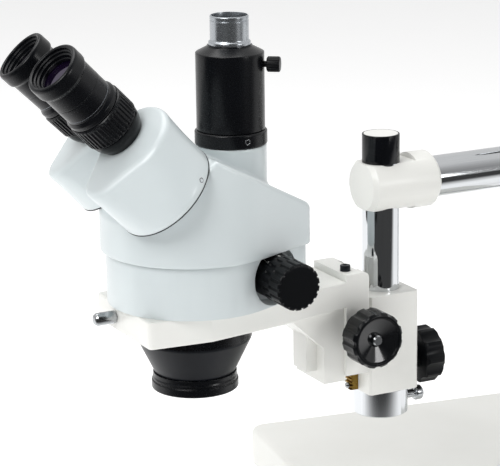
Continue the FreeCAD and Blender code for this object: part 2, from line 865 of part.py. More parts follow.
# ---- Microscope head castings ----
def head_outline(radius, back, back_half, z):
    """Closed plan wire: a round front about the head's axis, straight sides and a flat back."""
    lean = vec(-back + head_reach, back_half, 0)
    distance = math.hypot(lean.x, lean.y)
    touch = math.atan2(lean.y, lean.x) + math.acos(radius / distance) if distance > radius else math.pi / 2
    tx = radius * math.cos(touch) - head_reach
    ty = radius * math.sin(touch)
    front = vec(-head_reach - radius, 0, z)
    arc = Part.Arc(vec(tx, ty, z), front, vec(tx, -ty, z)).toShape()
    sides = Part.makePolygon([vec(tx, -ty, z), vec(-back, -back_half, z), vec(-back, back_half, z),
                              vec(tx, ty, z)])
    return Part.Wire([arc] + sides.Edges)


def head_prism(radius, back, back_half, z0, z1, corner):
    prism = Part.Face(head_outline(radius, back, back_half, z0)).extrude(vec(0, 0, z1 - z0))
    corners = [e for e in upright_edges(prism) if e.BoundBox.XMin > -back - 0.01]
    return prism.makeFillet(corner, corners)


def zoom_body():
    """Lower casting of the head: an open-topped pan over the focus ring, pierced for the zoom shaft."""
    outer = head_prism(lower_radius, lower_back, lower_back_half, plate_top, lower_top, upper_corner)
    wall = casting_wall
    inner = head_prism(lower_radius - wall, lower_back + wall, lower_back_half - wall,
                       plate_top + floor_thickness, lower_top + 1, upper_corner - wall)
    light = rod(spigot_inner_radius, 3 * floor_thickness, vec(-head_reach, 0, plate_top - floor_thickness))
    shaft = rod(zoom_shaft_radius + running_fit, 4 * lower_radius, vec(-zoom_axis_x, -2 * lower_radius, zoom_axis_z),
                Y_AXIS)
    body = outer.cut(inner.fuse(light))
    for side in (-1, 1):
        start = vec(-zoom_axis_x, side * (zoom_knob_start - body_gap), zoom_axis_z)
        scoop = rod(zoom_scoop_radius, lower_radius, start, side * Y_AXIS)
        cup = rod(zoom_scoop_radius + wall, lower_radius, start - side * wall * Y_AXIS, side * Y_AXIS)
        body = body.fuse(cup.common(outer)).cut(scoop)
    sockets = guide_rods(guide_rod_radius + running_fit)
    return body.cut(shaft.fuse(sockets)).removeSplitter()


def under_roof(shrink):
    """Everything under the sloping roof, shrunk inwards by a wall."""
    fall = (roof_ridge_height - roof_back_height) / (roof_ridge_x - upper_back)
    drop = shrink * math.hypot(1, fall)
    half = 2 * upper_radius
    back = upper_corner
    ends = [(-roof_ridge_x - half, roof_ridge_height + half * fall - drop),
            (back - upper_back, roof_back_height - back * fall - drop)]
    side = [vec(x, -half, z) for x, z in ends]
    side += [vec(ends[1][0], -half, plate_top), vec(ends[0][0], -half, plate_top)]
    return extruded(side, vec(0, 2 * half, 0))


def behind_seats(shape, shrink):
    """Keep the part of a shape behind both housings' seats, shrunk inwards by a wall."""
    far = 2 * seat_s
    for side in (-1, 1):
        shape = shape.common(on_seat(block(-far, far, -far, far, -far, 0), side, -shrink))
    return shape


def upper_body():
    """Upper casting: a hollow cover with a sloping roof, two tilted seats and the photo port's neck."""
    wall = casting_wall
    high = 2 * roof_ridge_height
    outer = head_prism(upper_radius, upper_back, upper_back_half, upper_bottom, high, upper_corner)
    outer = behind_seats(outer.common(under_roof(0)), 0)
    inner = head_prism(upper_radius - wall, upper_back + wall, upper_back_half - wall, upper_bottom - 1, high,
                       upper_corner - wall)
    inner = behind_seats(inner.common(under_roof(wall)), seat_wall)
    neck = rod(port_neck_radius, port_neck_top - roof_back_height, vec(-port_x, 0, roof_back_height))
    bore = rod(port_neck_bore, roof_back_height, vec(-port_x, 0, roof_back_height - port_neck_bore))
    pivot_hole = rod(pivot_radius + running_fit, 4 * seat_wall)
    holes = [on_seat(pivot_hole, side, -2 * seat_wall) for side in (-1, 1)]
    return outer.fuse(neck).cut(inner).cut(bore.fuse(holes)).removeSplitter()


def head_spigot():
    low = spigot_bottom
    outer = ring_radius - running_fit
    return turned([(spigot_inner_radius, low), (outer, low), (outer, plate_top), (spigot_inner_radius, plate_top)],
                  vec(-head_reach, 0, 0))


def objective_cone():
    wall = cone_wall
    cone = turned([(cone_low_radius - wall, cone_bottom), (cone_low_radius, cone_bottom),
                   (cone_top_radius, spigot_bottom - 1.5), (cone_top_radius, spigot_bottom),
                   (spigot_inner_radius, spigot_bottom), (cone_low_radius - wall, cone_bottom + wall)],
                  vec(-head_reach, 0, 0))
    web = rod(cone_low_radius - wall + 1.5, cone_web_thickness, vec(-head_reach, 0, cone_web_height))
    seats = [rod(objective_lens_radius + running_fit, 3 * cone_web_thickness,
                 vec(-head_reach, y, cone_web_height - cone_web_thickness))
             for y in (-channel_half, channel_half)]
    return cone.fuse(web).cut(Part.makeCompound(seats)).removeSplitter()


def objective_ring():
    groove = objective_radius - objective_groove_depth
    low = objective_bottom
    bore = objective_bore_radius
    return turned([(bore, low), (objective_radius - 0.6, low), (objective_radius, low + 0.6),
                   (objective_radius, objective_step - 1.6), (groove, objective_step - 1.2),
                   (groove, objective_step), (objective_upper_radius, objective_step),
                   (objective_upper_radius, cone_bottom), (cone_low_radius - cone_wall, cone_bottom),
                   (bore, cone_bottom - 1)], vec(-head_reach, 0, 0))


def lens(radius, edge, bulge, place, direction=Z_AXIS):
    """A double-convex glass: two spherical faces meeting a plain edge."""
    ball = (radius * radius + bulge * bulge) / (2 * bulge)
    middle = edge / 2 + bulge - ball
    near = Part.makeSphere(ball, vec(0, 0, middle))
    far = Part.makeSphere(ball, vec(0, 0, -middle))
    disc = rod(radius, edge + 2 * bulge, vec(0, 0, -edge / 2 - bulge))
    return aim(disc.common(near).common(far), place, direction)


def lens_pair(radius, edge, bulge, z):
    return Part.makeCompound([lens(radius, edge, bulge, vec(-head_reach, y, z)) for y in
                              (-channel_half, channel_half)])


def objective_lenses():
    return lens_pair(objective_lens_radius, objective_lens_thickness - 1.6, 1.2,
                     cone_web_height + cone_web_thickness / 2)


def guide_rods(radius):
    low = plate_top + 1
    return [rod(radius, guide_rod_top - low, vec(-head_reach, y, low)) for y in (-guide_rod_spacing,
                                                                                   guide_rod_spacing)]


def lens_guide_rods():
    return Part.makeCompound(guide_rods(guide_rod_radius))


def lens_carrier(z, side):
    """A zoom carrier: a plate with two lens seats and an arm that holds its rack beside the zoom pinion."""
    high = z + carrier_thickness
    x0 = -head_reach - carrier_half_depth
    x1 = -head_reach + carrier_half_depth
    plate = block(x0, x1, -carrier_half_width, carrier_half_width, z, high)
    y0 = side * (carrier_arm_half + loose_gap) - carrier_arm_half
    y1 = y0 + 2 * carrier_arm_half
    rack_x = -zoom_axis_x + side * zoom_pitch_radius
    arm = block(x1 - 1, rack_x + side * (zoom_rack_body - 0.5), y0, y1, z, high)
    pitches = int(zoom_rack_half_length / zoom_module)
    bar = toothed_bar(zoom_module, zoom_rack_body, pitches, y0, y1, side, rack_x, zoom_axis_z,
                      min(z, zoom_axis_z - zoom_rack_half_length), max(high, zoom_axis_z + zoom_rack_half_length))
    seats = [rod(zoom_lens_radius + running_fit, 3 * carrier_thickness, vec(-head_reach, y, z - carrier_thickness))
             for y in (-channel_half, channel_half)]
    cuts = Part.makeCompound(seats + guide_rods(guide_rod_radius + running_fit))
    return plate.fuse([arm, bar]).cut(cuts).removeSplitter()


def zoom_shaft():
    reach = zoom_knob_start + zoom_knob_neck_length + zoom_knob_grip_length - zoom_knob_skin
    pinion = involute_pinion(zoom_teeth, zoom_module, 2 * zoom_pinion_half)
    pinion.translate(vec(0, 0, -zoom_pinion_half))
    shaft = rod(zoom_shaft_radius, 2 * reach, vec(0, 0, -reach))
    return aim(shaft.fuse(pinion), vec(-zoom_axis_x, 0, zoom_axis_z), -Y_AXIS)


def zoom_knob(side):
    """A zoom knob: a smooth neck that carries the dial and a grip with short slots round it."""
    neck = rod(zoom_knob_neck_radius, zoom_knob_neck_length)
    grip = fluted(zoom_knob_grip_radius, zoom_knob_grip_length, flutes=24, flute_radius=0.9, depth=0.5)
    grip = bevelled(grip, zoom_knob_grip_radius, zoom_knob_grip_length, bevel=1.2)
    grip.translate(vec(0, 0, zoom_knob_neck_length))
    depth = zoom_knob_neck_length + zoom_knob_grip_length - zoom_knob_skin + body_gap
    knob = neck.fuse(grip).cut(rod(zoom_shaft_radius + running_fit, depth))
    return aim(knob, vec(-zoom_axis_x, side * zoom_knob_start, zoom_axis_z), side * Y_AXIS)


# ---- Binocular tubes, each drawn in the frame of its own seat and mirrored across the middle ----
def arc_through(points):
    return Part.Arc(*points).toShape()


def round_point(centre_x, centre_y, radius, angle, z):
    return vec(centre_x + radius * math.cos(angle), centre_y + radius * math.sin(angle), z)


def egg_wire(side, shrink, z):
    """The housing's front outline: a wide crown and a narrow chin joined by two straight tangents."""
    crown_y = -side * crown_in
    chin_y = -side * chin_in
    crown = crown_radius - shrink
    chin = chin_radius - shrink
    reach = math.hypot(crown_up + chin_down, crown_y - chin_y)
    lean = math.atan2(crown_y - chin_y, crown_up + chin_down)
    turn = math.acos((chin_radius - crown_radius) / reach)
    a = lean + turn
    b = lean - turn
    up = (crown_up, crown_y, crown)
    down = (-chin_down, chin_y, chin)
    top = arc_through([round_point(*up, b, z), round_point(*up, lean, z), round_point(*up, a, z)])
    bottom = arc_through([round_point(*down, a, z), round_point(*down, lean + math.pi, z),
                          round_point(*down, b, z)])
    left = Part.makeLine(round_point(*up, a, z), round_point(*down, a, z))
    right = Part.makeLine(round_point(*down, b, z), round_point(*up, b, z))
    return Part.Wire([top, left, bottom, right])


def drum_wire(radius, z):
    """A circle in four arcs that match the four sides of the front outline."""
    corners = [math.radians(a) for a in (-drum_split, drum_split, 180 - chin_split, 180 + chin_split)]
    arcs = []
    for start, end in zip(corners, corners[1:] + [corners[0] + 2 * math.pi]):
        points = [round_point(0, 0, radius, a, z) for a in (start, (start + end) / 2, end)]
        arcs.append(arc_through(points))
    return Part.Wire(arcs)


def housing_skin(side, shrink, low, high):
    """The housing's outside, or its hollow when shrunk: a round drum blending to the egg-shaped front."""
    drum = rod(drum_radius - shrink, drum_height - low, vec(0, 0, low))
    blend = Part.makeLoft([drum_wire(drum_radius - shrink, drum_height), egg_wire(side, shrink, high)], True, True)
    return drum.fuse(blend)


def prism_housing(side):
    """A prism housing that turns on its hollow pivot, with a bore in its front for the eyepiece tube."""
    skin = housing_skin(side, 0, 0, housing_height)
    skin = skin.makeFillet(housing_round, edges_at_height(skin, housing_height))
    room = housing_skin(side, housing_wall, housing_floor, housing_height - housing_wall)
    pivot = rod(pivot_radius, seat_wall + body_gap, vec(0, 0, -seat_wall - body_gap))
    light = rod(pivot_light_radius, 4 * seat_wall, vec(0, 0, -2 * seat_wall))
    eye = rod(eye_tube_insert_radius + running_fit, housing_height, vec(eye_up, -side * eye_in, housing_height / 2))
    return on_seat(skin.cut(room).fuse(pivot).cut(light.fuse(eye)).removeSplitter(), side, body_gap)


def housing_prism(side):
    """Rhomboid glass that shifts the light from the housing's pivot across to the eyepiece."""
    h = prism_half
    shift = math.hypot(eye_up, eye_in)
    profile = [vec(-h, -h, 0), vec(shift - h, -h, 0), vec(shift + h, -h, 2 * h), vec(h, -h, 2 * h)]
    glass = extruded(profile, vec(0, 2 * h, 0))
    glass.rotate(ORIGIN, Z_AXIS, math.degrees(math.atan2(-side * eye_in, eye_up)))
    return on_seat(glass, side, body_gap + housing_floor)


def on_eye_axis(shape, side, height):
    """Carry a shape built about +Z to the eyepiece's axis, a height above the housing's front."""
    moved = shape.copy()
    moved.translate(vec(eye_up, -side * eye_in, 0))
    return on_seat(moved, side, body_gap + housing_height + height)


def eyepiece_tube(side):
    """A black tube fixed in the housing: a flared skirt below and a sleeve that carries the diopter ring."""
    skirt = eye_skirt_length
    low = -eye_tube_insert_length
    bore = eyepiece_spigot_radius + running_fit
    top = eyepiece_shelf() - body_gap
    tube = turned([(bore, low), (eye_tube_insert_radius, low), (eye_tube_insert_radius, 0),
                   (eye_skirt_foot_radius, 0), (0.55 * eye_skirt_radius + 0.45 * eye_skirt_foot_radius, 0.4 * skirt),
                   (eye_skirt_radius, 0.85 * skirt), (eye_skirt_radius, skirt), (eye_tube_radius, skirt),
                   (eye_tube_radius, top), (bore, top)])
    return on_eye_axis(tube, side, 0)


def diopter_ring(side):
    """The ribbed ring that turns on the eyepiece tube."""
    ribbed = fluted(diopter_radius, diopter_length, flutes=40, flute_radius=0.7, depth=0.5)
    ring = bevelled(ribbed, diopter_radius, diopter_length, bevel=0.8)
    ring = ring.cut(rod(eye_tube_radius + running_fit, 2 * diopter_length, vec(0, 0, -1)))
    return on_eye_axis(ring, side, eye_skirt_length + body_gap)


def eyepiece_shelf():
    return eye_skirt_length + diopter_length + 2 * body_gap


def eyepiece(side):
    """A wide-field eyepiece: spigot, bevelled collar, plain barrel and a flared eye rim."""
    spigot = eyepiece_spigot_radius
    inside = spigot - eyepiece_wall
    collar = eyepiece_collar_length
    top = eyepiece_length
    flare = top - eyepiece_rim_length
    seat = eye_lens_radius + running_fit
    shelf = top - eye_lens_inset - eye_lens_thickness / 2 - 1
    shell = [(inside, -eyepiece_spigot_length), (spigot, -eyepiece_spigot_length), (spigot, 0),
             (eyepiece_collar_radius, 0), (eyepiece_collar_radius, collar - 2),
             (eyepiece_barrel_radius, collar), (eyepiece_barrel_radius, flare),
             (eyepiece_rim_radius, flare + 2), (eyepiece_rim_radius, top - 1), (eyepiece_rim_radius - 1, top),
             (eyepiece_rim_radius - 2, top), (seat + 1, top - eye_lens_inset + 3),
             (seat, top - eye_lens_inset + 2), (seat, shelf), (inside, shelf)]
    return on_eye_axis(turned(shell), side, eyepiece_shelf())


def eye_lens(side):
    glass = lens(eye_lens_radius, eye_lens_thickness - 2, 1.0, ORIGIN)
    return on_eye_axis(glass, side, eyepiece_shelf() + eyepiece_length - eye_lens_inset)


# ---- Photo port ----
def photo_port_ring():
    low = port_neck_top
    high = low + port_ring_height
    spigot = port_neck_bore - running_fit
    bore = port_spigot_radius() + running_fit
    r = port_ring_radius
    end = low - port_ring_spigot
    return turned([(bore, end), (spigot, end), (spigot, low), (r - 0.8, low), (r, low + 0.8),
                   (r, high - 0.8), (r - 0.8, high), (bore, high)], vec(-port_x, 0, 0))


def port_spigot_radius():
    return port_neck_bore - port_ring_wall


def photo_tube_body():
    low = port_neck_top + port_ring_height
    spigot = port_spigot_radius()
    r = port_body_radius
    bore = photo_tube_radius + running_fit
    cup = bore + 3
    body = turned([(bore, low - port_spigot_depth), (spigot, low - port_spigot_depth), (spigot, low), (r, low),
                   (r, port_body_top), (port_shoulder_radius, port_shoulder_top - 0.8),
                   (port_shoulder_radius, port_shoulder_top), (bore, port_shoulder_top)], vec(-port_x, 0, 0))
    relief = turned([(0, low), (cup, low), (cup, photo_tube_low() - 4), (0, photo_tube_low() - 4)],
                    vec(-port_x, 0, 0))
    hole = rod(photo_screw_shank_radius + running_fit, 2 * r, photo_screw_place(), photo_screw_direction())
    return body.cut(relief.fuse(hole))


def photo_tube_low():
    return port_shoulder_top - photo_tube_insert


def photo_screw_place():
    return vec(-port_x, 0, photo_screw_height)


def photo_screw_direction():
    turn = math.radians(photo_screw_turn)
    return vec(math.cos(turn), math.sin(turn), 0)


def photo_tube():
    low = photo_tube_low()
    seat = port_shoulder_top + body_gap
    flange = seat + photo_flange_height
    top = photo_tube_top
    r = photo_tube_radius
    bore = photo_tube_bore
    groove = top - photo_groove_drop
    return turned([(bore, low), (r, low), (r, seat), (photo_flange_radius, seat), (photo_flange_radius, flange),
                   (r, flange), (r, groove), (r - 0.3, groove), (r - 0.3, groove + photo_groove_width),
                   (r, groove + photo_groove_width), (r, top - 0.5), (r - 0.5, top), (bore, top)],
                  vec(-port_x, 0, 0))


def photo_thumbscrew():
    neck_end = port_body_radius + photo_screw_neck
    tip = photo_tube_radius + body_gap
    length = photo_screw_head_length
    r = photo_screw_head_radius
    shank = rod(photo_screw_shank_radius, neck_end - tip, vec(0, 0, tip))
    head = bevelled(fluted(r, length, flutes=20, flute_radius=0.5, depth=0.35), r, length, bevel=0.7)
    head.translate(vec(0, 0, neck_end))
    return aim(shank.fuse(head).removeSplitter(), photo_screw_place(), photo_screw_direction())


def beam_splitter():
    half = splitter_side / 2
    return block(-port_x - half, -port_x + half, -half, half, splitter_height, splitter_height + splitter_side)


# ---- Export ----
def export(name, shape, local):
    moved = shape.copy()
    if local:
        moved.translate(head_origin)
    if not moved.isValid():
        print("invalid shape", name)
    moved.exportStep(f"parts/{name}.step")
    print(name, len(moved.Solids), round(moved.Volume))


os.makedirs("parts", exist_ok=True)

stand = {
    "base_plate": base_plate(),
    "rubber_feet": rubber_feet(),
    "pillar": pillar(),
    "pillar_cap": pillar_cap(),
    "pillar_bolt": pillar_bolt(),
    "lift_collar": lift_collar(),
    "lift_collar_screw": lift_collar_screw(),
    "boom_clamp": boom_clamp(),
    "pillar_clamp_knob": pillar_clamp_knob(),
    "boom_clamp_knob": boom_clamp_knob(),
    "boom_arm": boom_arm(),
    "boom_end_cap": boom_end_cap(),
}
head = {
    "tee_block": tee_block(),
    "post": post(),
    "post_cap": post_cap(),
    "post_cap_disc": post_cap_disc(),
    "stop_collar": stop_collar(),
    "stop_collar_screw": stop_collar_screw(),
    "post_block": post_block(),
    "post_clamp_knob": post_clamp_knob(),
    "focus_rack": focus_rack(),
    "rack_stop_screw": rack_stop_screw(),
    "focus_bracket": focus_bracket(),
    "bracket_screw": bracket_screw(),
    "pinion_shaft": pinion_shaft(),
    "focus_knob_right": focus_knob(-1),
    "focus_knob_left": focus_knob(1),
    "focus_cap_nuts": focus_cap_nuts(),
    "head_clamp_screw": head_clamp_screw(),
    "zoom_body": zoom_body(),
    "upper_body": upper_body(),
    "head_spigot": head_spigot(),
    "objective_cone": objective_cone(),
    "objective_ring": objective_ring(),
    "objective_lenses": objective_lenses(),
    "lens_guide_rods": lens_guide_rods(),
    "low_lens_carrier": lens_carrier(low_carrier_z, -1),
    "high_lens_carrier": lens_carrier(high_carrier_z, 1),
    "low_zoom_lenses": lens_pair(zoom_lens_radius, zoom_lens_thickness - 1, 1.0,
                                 low_carrier_z + carrier_thickness / 2),
    "high_zoom_lenses": lens_pair(zoom_lens_radius, zoom_lens_thickness - 1, 1.0,
                                  high_carrier_z + carrier_thickness / 2),
    "zoom_shaft": zoom_shaft(),
    "zoom_knob_right": zoom_knob(-1),
    "zoom_knob_left": zoom_knob(1),
    "photo_port_ring": photo_port_ring(),
    "photo_tube_body": photo_tube_body(),
    "photo_tube": photo_tube(),
    "photo_thumbscrew": photo_thumbscrew(),
    "beam_splitter": beam_splitter(),
}
for label, side in (("right", -1), ("left", 1)):
    head[f"{label}_prism_housing"] = prism_housing(side)
    head[f"{label}_prism"] = housing_prism(side)
    head[f"{label}_eyepiece_tube"] = eyepiece_tube(side)
    head[f"{label}_diopter_ring"] = diopter_ring(side)
    head[f"{label}_eyepiece"] = eyepiece(side)
    head[f"{label}_eye_lens"] = eye_lens(side)

for name, shape in stand.items():
    export(name, shape, False)
for name, shape in head.items():
    export(name, shape, True)
print("nodes", len(stand) + len(head))
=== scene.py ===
import json
import math

import bmesh
import bpy
import numpy as np
from mathutils import Matrix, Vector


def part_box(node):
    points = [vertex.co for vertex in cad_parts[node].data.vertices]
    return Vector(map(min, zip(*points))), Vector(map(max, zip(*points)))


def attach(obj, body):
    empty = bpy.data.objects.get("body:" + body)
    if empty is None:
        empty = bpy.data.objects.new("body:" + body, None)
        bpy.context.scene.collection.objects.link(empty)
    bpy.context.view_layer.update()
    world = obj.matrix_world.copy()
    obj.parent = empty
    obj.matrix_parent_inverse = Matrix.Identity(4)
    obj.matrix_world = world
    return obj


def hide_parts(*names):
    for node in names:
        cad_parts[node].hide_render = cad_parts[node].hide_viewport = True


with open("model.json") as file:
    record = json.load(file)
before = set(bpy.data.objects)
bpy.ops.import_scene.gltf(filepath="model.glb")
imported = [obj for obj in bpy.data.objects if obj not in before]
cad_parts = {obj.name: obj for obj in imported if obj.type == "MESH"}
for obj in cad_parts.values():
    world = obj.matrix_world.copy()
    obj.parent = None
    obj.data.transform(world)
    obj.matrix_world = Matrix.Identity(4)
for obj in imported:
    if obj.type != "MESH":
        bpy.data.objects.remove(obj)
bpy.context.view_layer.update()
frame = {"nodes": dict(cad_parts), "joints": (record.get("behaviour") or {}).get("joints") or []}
nodes = frame["nodes"]
MM = 0.001


# ---------------------------------------------------------------------------
# Base plate, cast iron under satin off-white enamel, with moulded rubber feet
# screwed below it. The enamel is sprayed: even, with a very fine orange peel.

def linear(code):
    """sRGB hex to the linear colour a shader takes."""
    parts = [int(code[i:i + 2], 16) / 255 for i in (1, 3, 5)]
    return tuple(c / 12.92 if c <= 0.04045 else ((c + 0.055) / 1.055) ** 2.4 for c in parts) + (1.0,)


def add(tree, kind, links=None, **settings):
    """Adds one node, sets its properties or sockets by name, and links its inputs from other sockets."""
    node = tree.nodes.new(kind)
    for key, value in settings.items():
        if hasattr(node, key):
            setattr(node, key, value)
        else:
            node.inputs[key.replace("_", " ")].default_value = value
    for key, source in (links or {}).items():
        tree.links.new(source, node.inputs[key])
    return node


def painted(name, light, dark, rough, peel_mm=1.2, peel=0.05, coat=0.25, mirror=0.5):
    """Sprayed enamel: two close tones drifting over 40 mm, fine peel in the bump and a thin clear gloss."""
    finish = bpy.data.materials.new(name)
    finish.use_nodes = True
    tree = finish.node_tree
    shader = tree.nodes["Principled BSDF"]
    place = add(tree, "ShaderNodeTexCoord").outputs["Object"]
    drift = add(tree, "ShaderNodeTexNoise", {"Vector": place}, Scale=1 / (40 * MM), Detail=3.0)
    tone = add(tree, "ShaderNodeMix", {"Factor": drift.outputs["Fac"]}, data_type="RGBA")
    tone.inputs[6].default_value = linear(light)
    tone.inputs[7].default_value = linear(dark)
    tree.links.new(tone.outputs[2], shader.inputs["Base Color"])
    fine = add(tree, "ShaderNodeTexNoise", {"Vector": place}, Scale=1 / (peel_mm * MM), Detail=2.0)
    gloss = add(tree, "ShaderNodeMapRange", {"Value": fine.outputs["Fac"]})
    gloss.inputs["To Min"].default_value = rough - 0.04
    gloss.inputs["To Max"].default_value = rough + 0.05
    tree.links.new(gloss.outputs["Result"], shader.inputs["Roughness"])
    bump = add(tree, "ShaderNodeBump", {"Height": fine.outputs["Fac"]}, Strength=peel, Distance=0.2 * MM)
    tree.links.new(bump.outputs["Normal"], shader.inputs["Normal"])
    shader.inputs["Coat Weight"].default_value = coat
    shader.inputs["Coat Roughness"].default_value = 0.18
    shader.inputs["Specular IOR Level"].default_value = mirror
    return finish


# Off-white enamel on castings: warm white, satin, close to matt on the big flat of the base.
white_enamel = painted("off_white_sprayed_enamel", "#ebebe7", "#e4e4df", 0.42)
# Moulded rubber: near black, matt, with a faint bloom of dust.
moulded_rubber = painted("moulded_black_rubber", "#1a1b1d", "#121314", 0.75, 0.8, 0.25, 0.0, 0.35)


def softened(node, finish, body, width=0.8, steps=3):
    """A copy of a CAD node with its doubles merged and flats joined, then a rounded edge of width mm."""
    mesh = nodes[node].data.copy()
    mesh.name = node + "_soft"
    work = bmesh.new()
    work.from_mesh(mesh)
    bmesh.ops.remove_doubles(work, verts=work.verts, dist=1e-6)
    bmesh.ops.dissolve_limit(work, angle_limit=math.radians(0.5), verts=work.verts, edges=work.edges)
    work.to_mesh(mesh)
    work.free()
    mesh.shade_smooth()
    mesh.materials.clear()
    mesh.materials.append(finish)
    piece = bpy.data.objects.new(node + "_soft", mesh)
    bpy.context.scene.collection.objects.link(piece)
    edge = piece.modifiers.new("edge", "BEVEL")
    edge.width = width * MM
    edge.segments = steps
    edge.limit_method = "ANGLE"
    edge.angle_limit = math.radians(40)
    edge.harden_normals = True
    edge.use_clamp_overlap = True
    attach(piece, body)
    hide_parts(node)
    return piece


def painted_node(node, finish):
    """Gives a CAD node that stays in view its finish."""
    nodes[node].data.materials.clear()
    nodes[node].data.materials.append(finish)


softened("base_plate", white_enamel, "base", 0.8)
painted_node("rubber_feet", moulded_rubber)


# ---------------------------------------------------------------------------
# Pillar, a ground steel bar with bright chrome plate, held by a bolt from below
# and closed by a black plastic cap. The arm and the focus post are made alike.

def plated(name, bright, dull, rough, streak_mm=(0.4, 0.4, 60), depth=0.02):
    """Bright plate on ground metal: streaks drawn out along Z, a little stronger in gloss than in colour."""
    finish = bpy.data.materials.new(name)
    finish.use_nodes = True
    tree = finish.node_tree
    shader = tree.nodes["Principled BSDF"]
    shader.inputs["Metallic"].default_value = 1.0
    place = add(tree, "ShaderNodeTexCoord").outputs["Object"]
    stretch = add(tree, "ShaderNodeMapping", {"Vector": place})
    stretch.inputs["Scale"].default_value = tuple(1 / (size * MM) for size in streak_mm)
    streaks = add(tree, "ShaderNodeTexNoise", {"Vector": stretch.outputs["Vector"]}, Scale=1.0, Detail=3.0)
    tone = add(tree, "ShaderNodeMix", {"Factor": streaks.outputs["Fac"]}, data_type="RGBA")
    tone.inputs[6].default_value = linear(bright)
    tone.inputs[7].default_value = linear(dull)
    tree.links.new(tone.outputs[2], shader.inputs["Base Color"])
    gloss = add(tree, "ShaderNodeMapRange", {"Value": streaks.outputs["Fac"]})
    gloss.inputs["To Min"].default_value = rough * 0.7
    gloss.inputs["To Max"].default_value = rough * 1.4
    tree.links.new(gloss.outputs["Result"], shader.inputs["Roughness"])
    bump = add(tree, "ShaderNodeBump", {"Height": streaks.outputs["Fac"]}, Strength=depth, Distance=0.05 * MM)
    tree.links.new(bump.outputs["Normal"], shader.inputs["Normal"])
    return finish


# Bright chrome on ground steel: a near mirror with faint lengthways grinding.
chrome_upright = plated("bright_chrome_on_ground_bar", "#e3e5e7", "#c6c9cc", 0.07)
# The same plate on the level arm, ground along X.
chrome_level = plated("bright_chrome_on_ground_arm", "#e3e5e7", "#c6c9cc", 0.07, (60, 0.4, 0.4))
# Nickel-plated turned steel of the small screws: bright but softer, with fine turning marks.
turned_steel = plated("nickel_plated_turned_steel", "#c9cbcd", "#a2a5a8", 0.2, (0.5, 0.5, 0.5), 0.08)
# Moulded ABS of caps and knobs: black, satin, with a fine spark-eroded grain.
black_abs = painted("moulded_black_abs", "#0e1013", "#08090b", 0.32, 0.6, 0.12, 0.0, 0.16)

for name in ("pillar", "post", "lift_collar"):
    painted_node(name, chrome_upright)
painted_node("pillar_bolt", turned_steel)
softened("pillar_cap", black_abs, "base", 0.6)


# ---------------------------------------------------------------------------
# Clamps behind the head: the collar that sets the height with its thumbscrew,
# and the cast crossing block with two star knobs that hold pillar and arm.

painted_node("lift_collar_screw", turned_steel)
softened("boom_clamp", white_enamel, "boom_clamp", 0.5)
softened("pillar_clamp_knob", black_abs, "pillar_clamp_knob", 0.6)
softened("boom_clamp_knob", black_abs, "boom_clamp_knob", 0.6)


# ---------------------------------------------------------------------------
# The arm is a chromed tube with a pressed-in plastic end cap. It enters the cast
# tee block, which grips the focus post. The post ends in a black cap.

painted_node("boom_arm", chrome_level)
softened("boom_end_cap", black_abs, "boom", 0.5)
softened("tee_block", white_enamel, "tee", 1.2, 4)
# Gloss black lacquer on the turned post cap.
black_lacquer = painted("black_lacquered_cap", "#0b0d11", "#06070a", 0.18, 0.8, 0.03, 0.0, 0.3)
softened("post_cap", black_lacquer, "tee", 0.5)
# Matt off-white disc let into the cap's end.
white_disc = painted("matt_white_plastic_disc", "#e8e8e4", "#dededa", 0.55, 0.7, 0.05, 0.0)
painted_node("post_cap_disc", white_disc)


# ---------------------------------------------------------------------------
# Stop collar on the post, turned and chromed, with a small knurled thumbscrew.
# It carries the focus block when the clamp is loosened.

painted_node("stop_collar", chrome_upright)
softened("stop_collar_screw", turned_steel, "stop_collar_screw", 0.3)


# ---------------------------------------------------------------------------
# Focus block: an enamelled block that slides on the post, its clamping knob,
# the brass rack let into its dovetail and the rack's domed stop screw.

softened("post_block", white_enamel, "focus_block", 0.7)
softened("post_clamp_knob", black_abs, "post_clamp_knob", 0.7)
# Milled brass gone a little brown between its teeth.
milled_brass = plated("milled_brass_rack", "#a98a45", "#6f5526", 0.38, (1.5, 4, 0.6), 0.15)
painted_node("focus_rack", milled_brass)
painted_node("rack_stop_screw", turned_steel)


# ---------------------------------------------------------------------------
# Focus bracket: one casting with the slide, a gusset and the arm whose ring
# takes the head. Enamelled off-white; two screws of its own.

softened("focus_bracket", white_enamel, "carriage", 0.9)
# Black oxide on the socket-head screw.
black_oxide = plated("black_oxide_steel_screw", "#34363a", "#232528", 0.35, (0.8, 0.8, 0.8), 0.1)
painted_node("bracket_screw", black_oxide)
softened("head_clamp_screw", turned_steel, "head_clamp_screw", 0.3)


# ---------------------------------------------------------------------------
# Focus knobs on the pinion shaft: moulded black knobs with scalloped rims and a
# polished conical dish round a chromed nut.

def basis(axis):
    """Two directions square to an axis, the first as level-free and upright as it can be."""
    axis = np.array(axis, float) / np.linalg.norm(axis)
    first = np.array((1.0, 0.0, 0.0)) if abs(axis[2]) > 0.99 else np.array((0.0, 0.0, 1.0))
    first = first - axis * (first @ axis)
    first /= np.linalg.norm(first)
    return first, np.cross(axis, first), axis


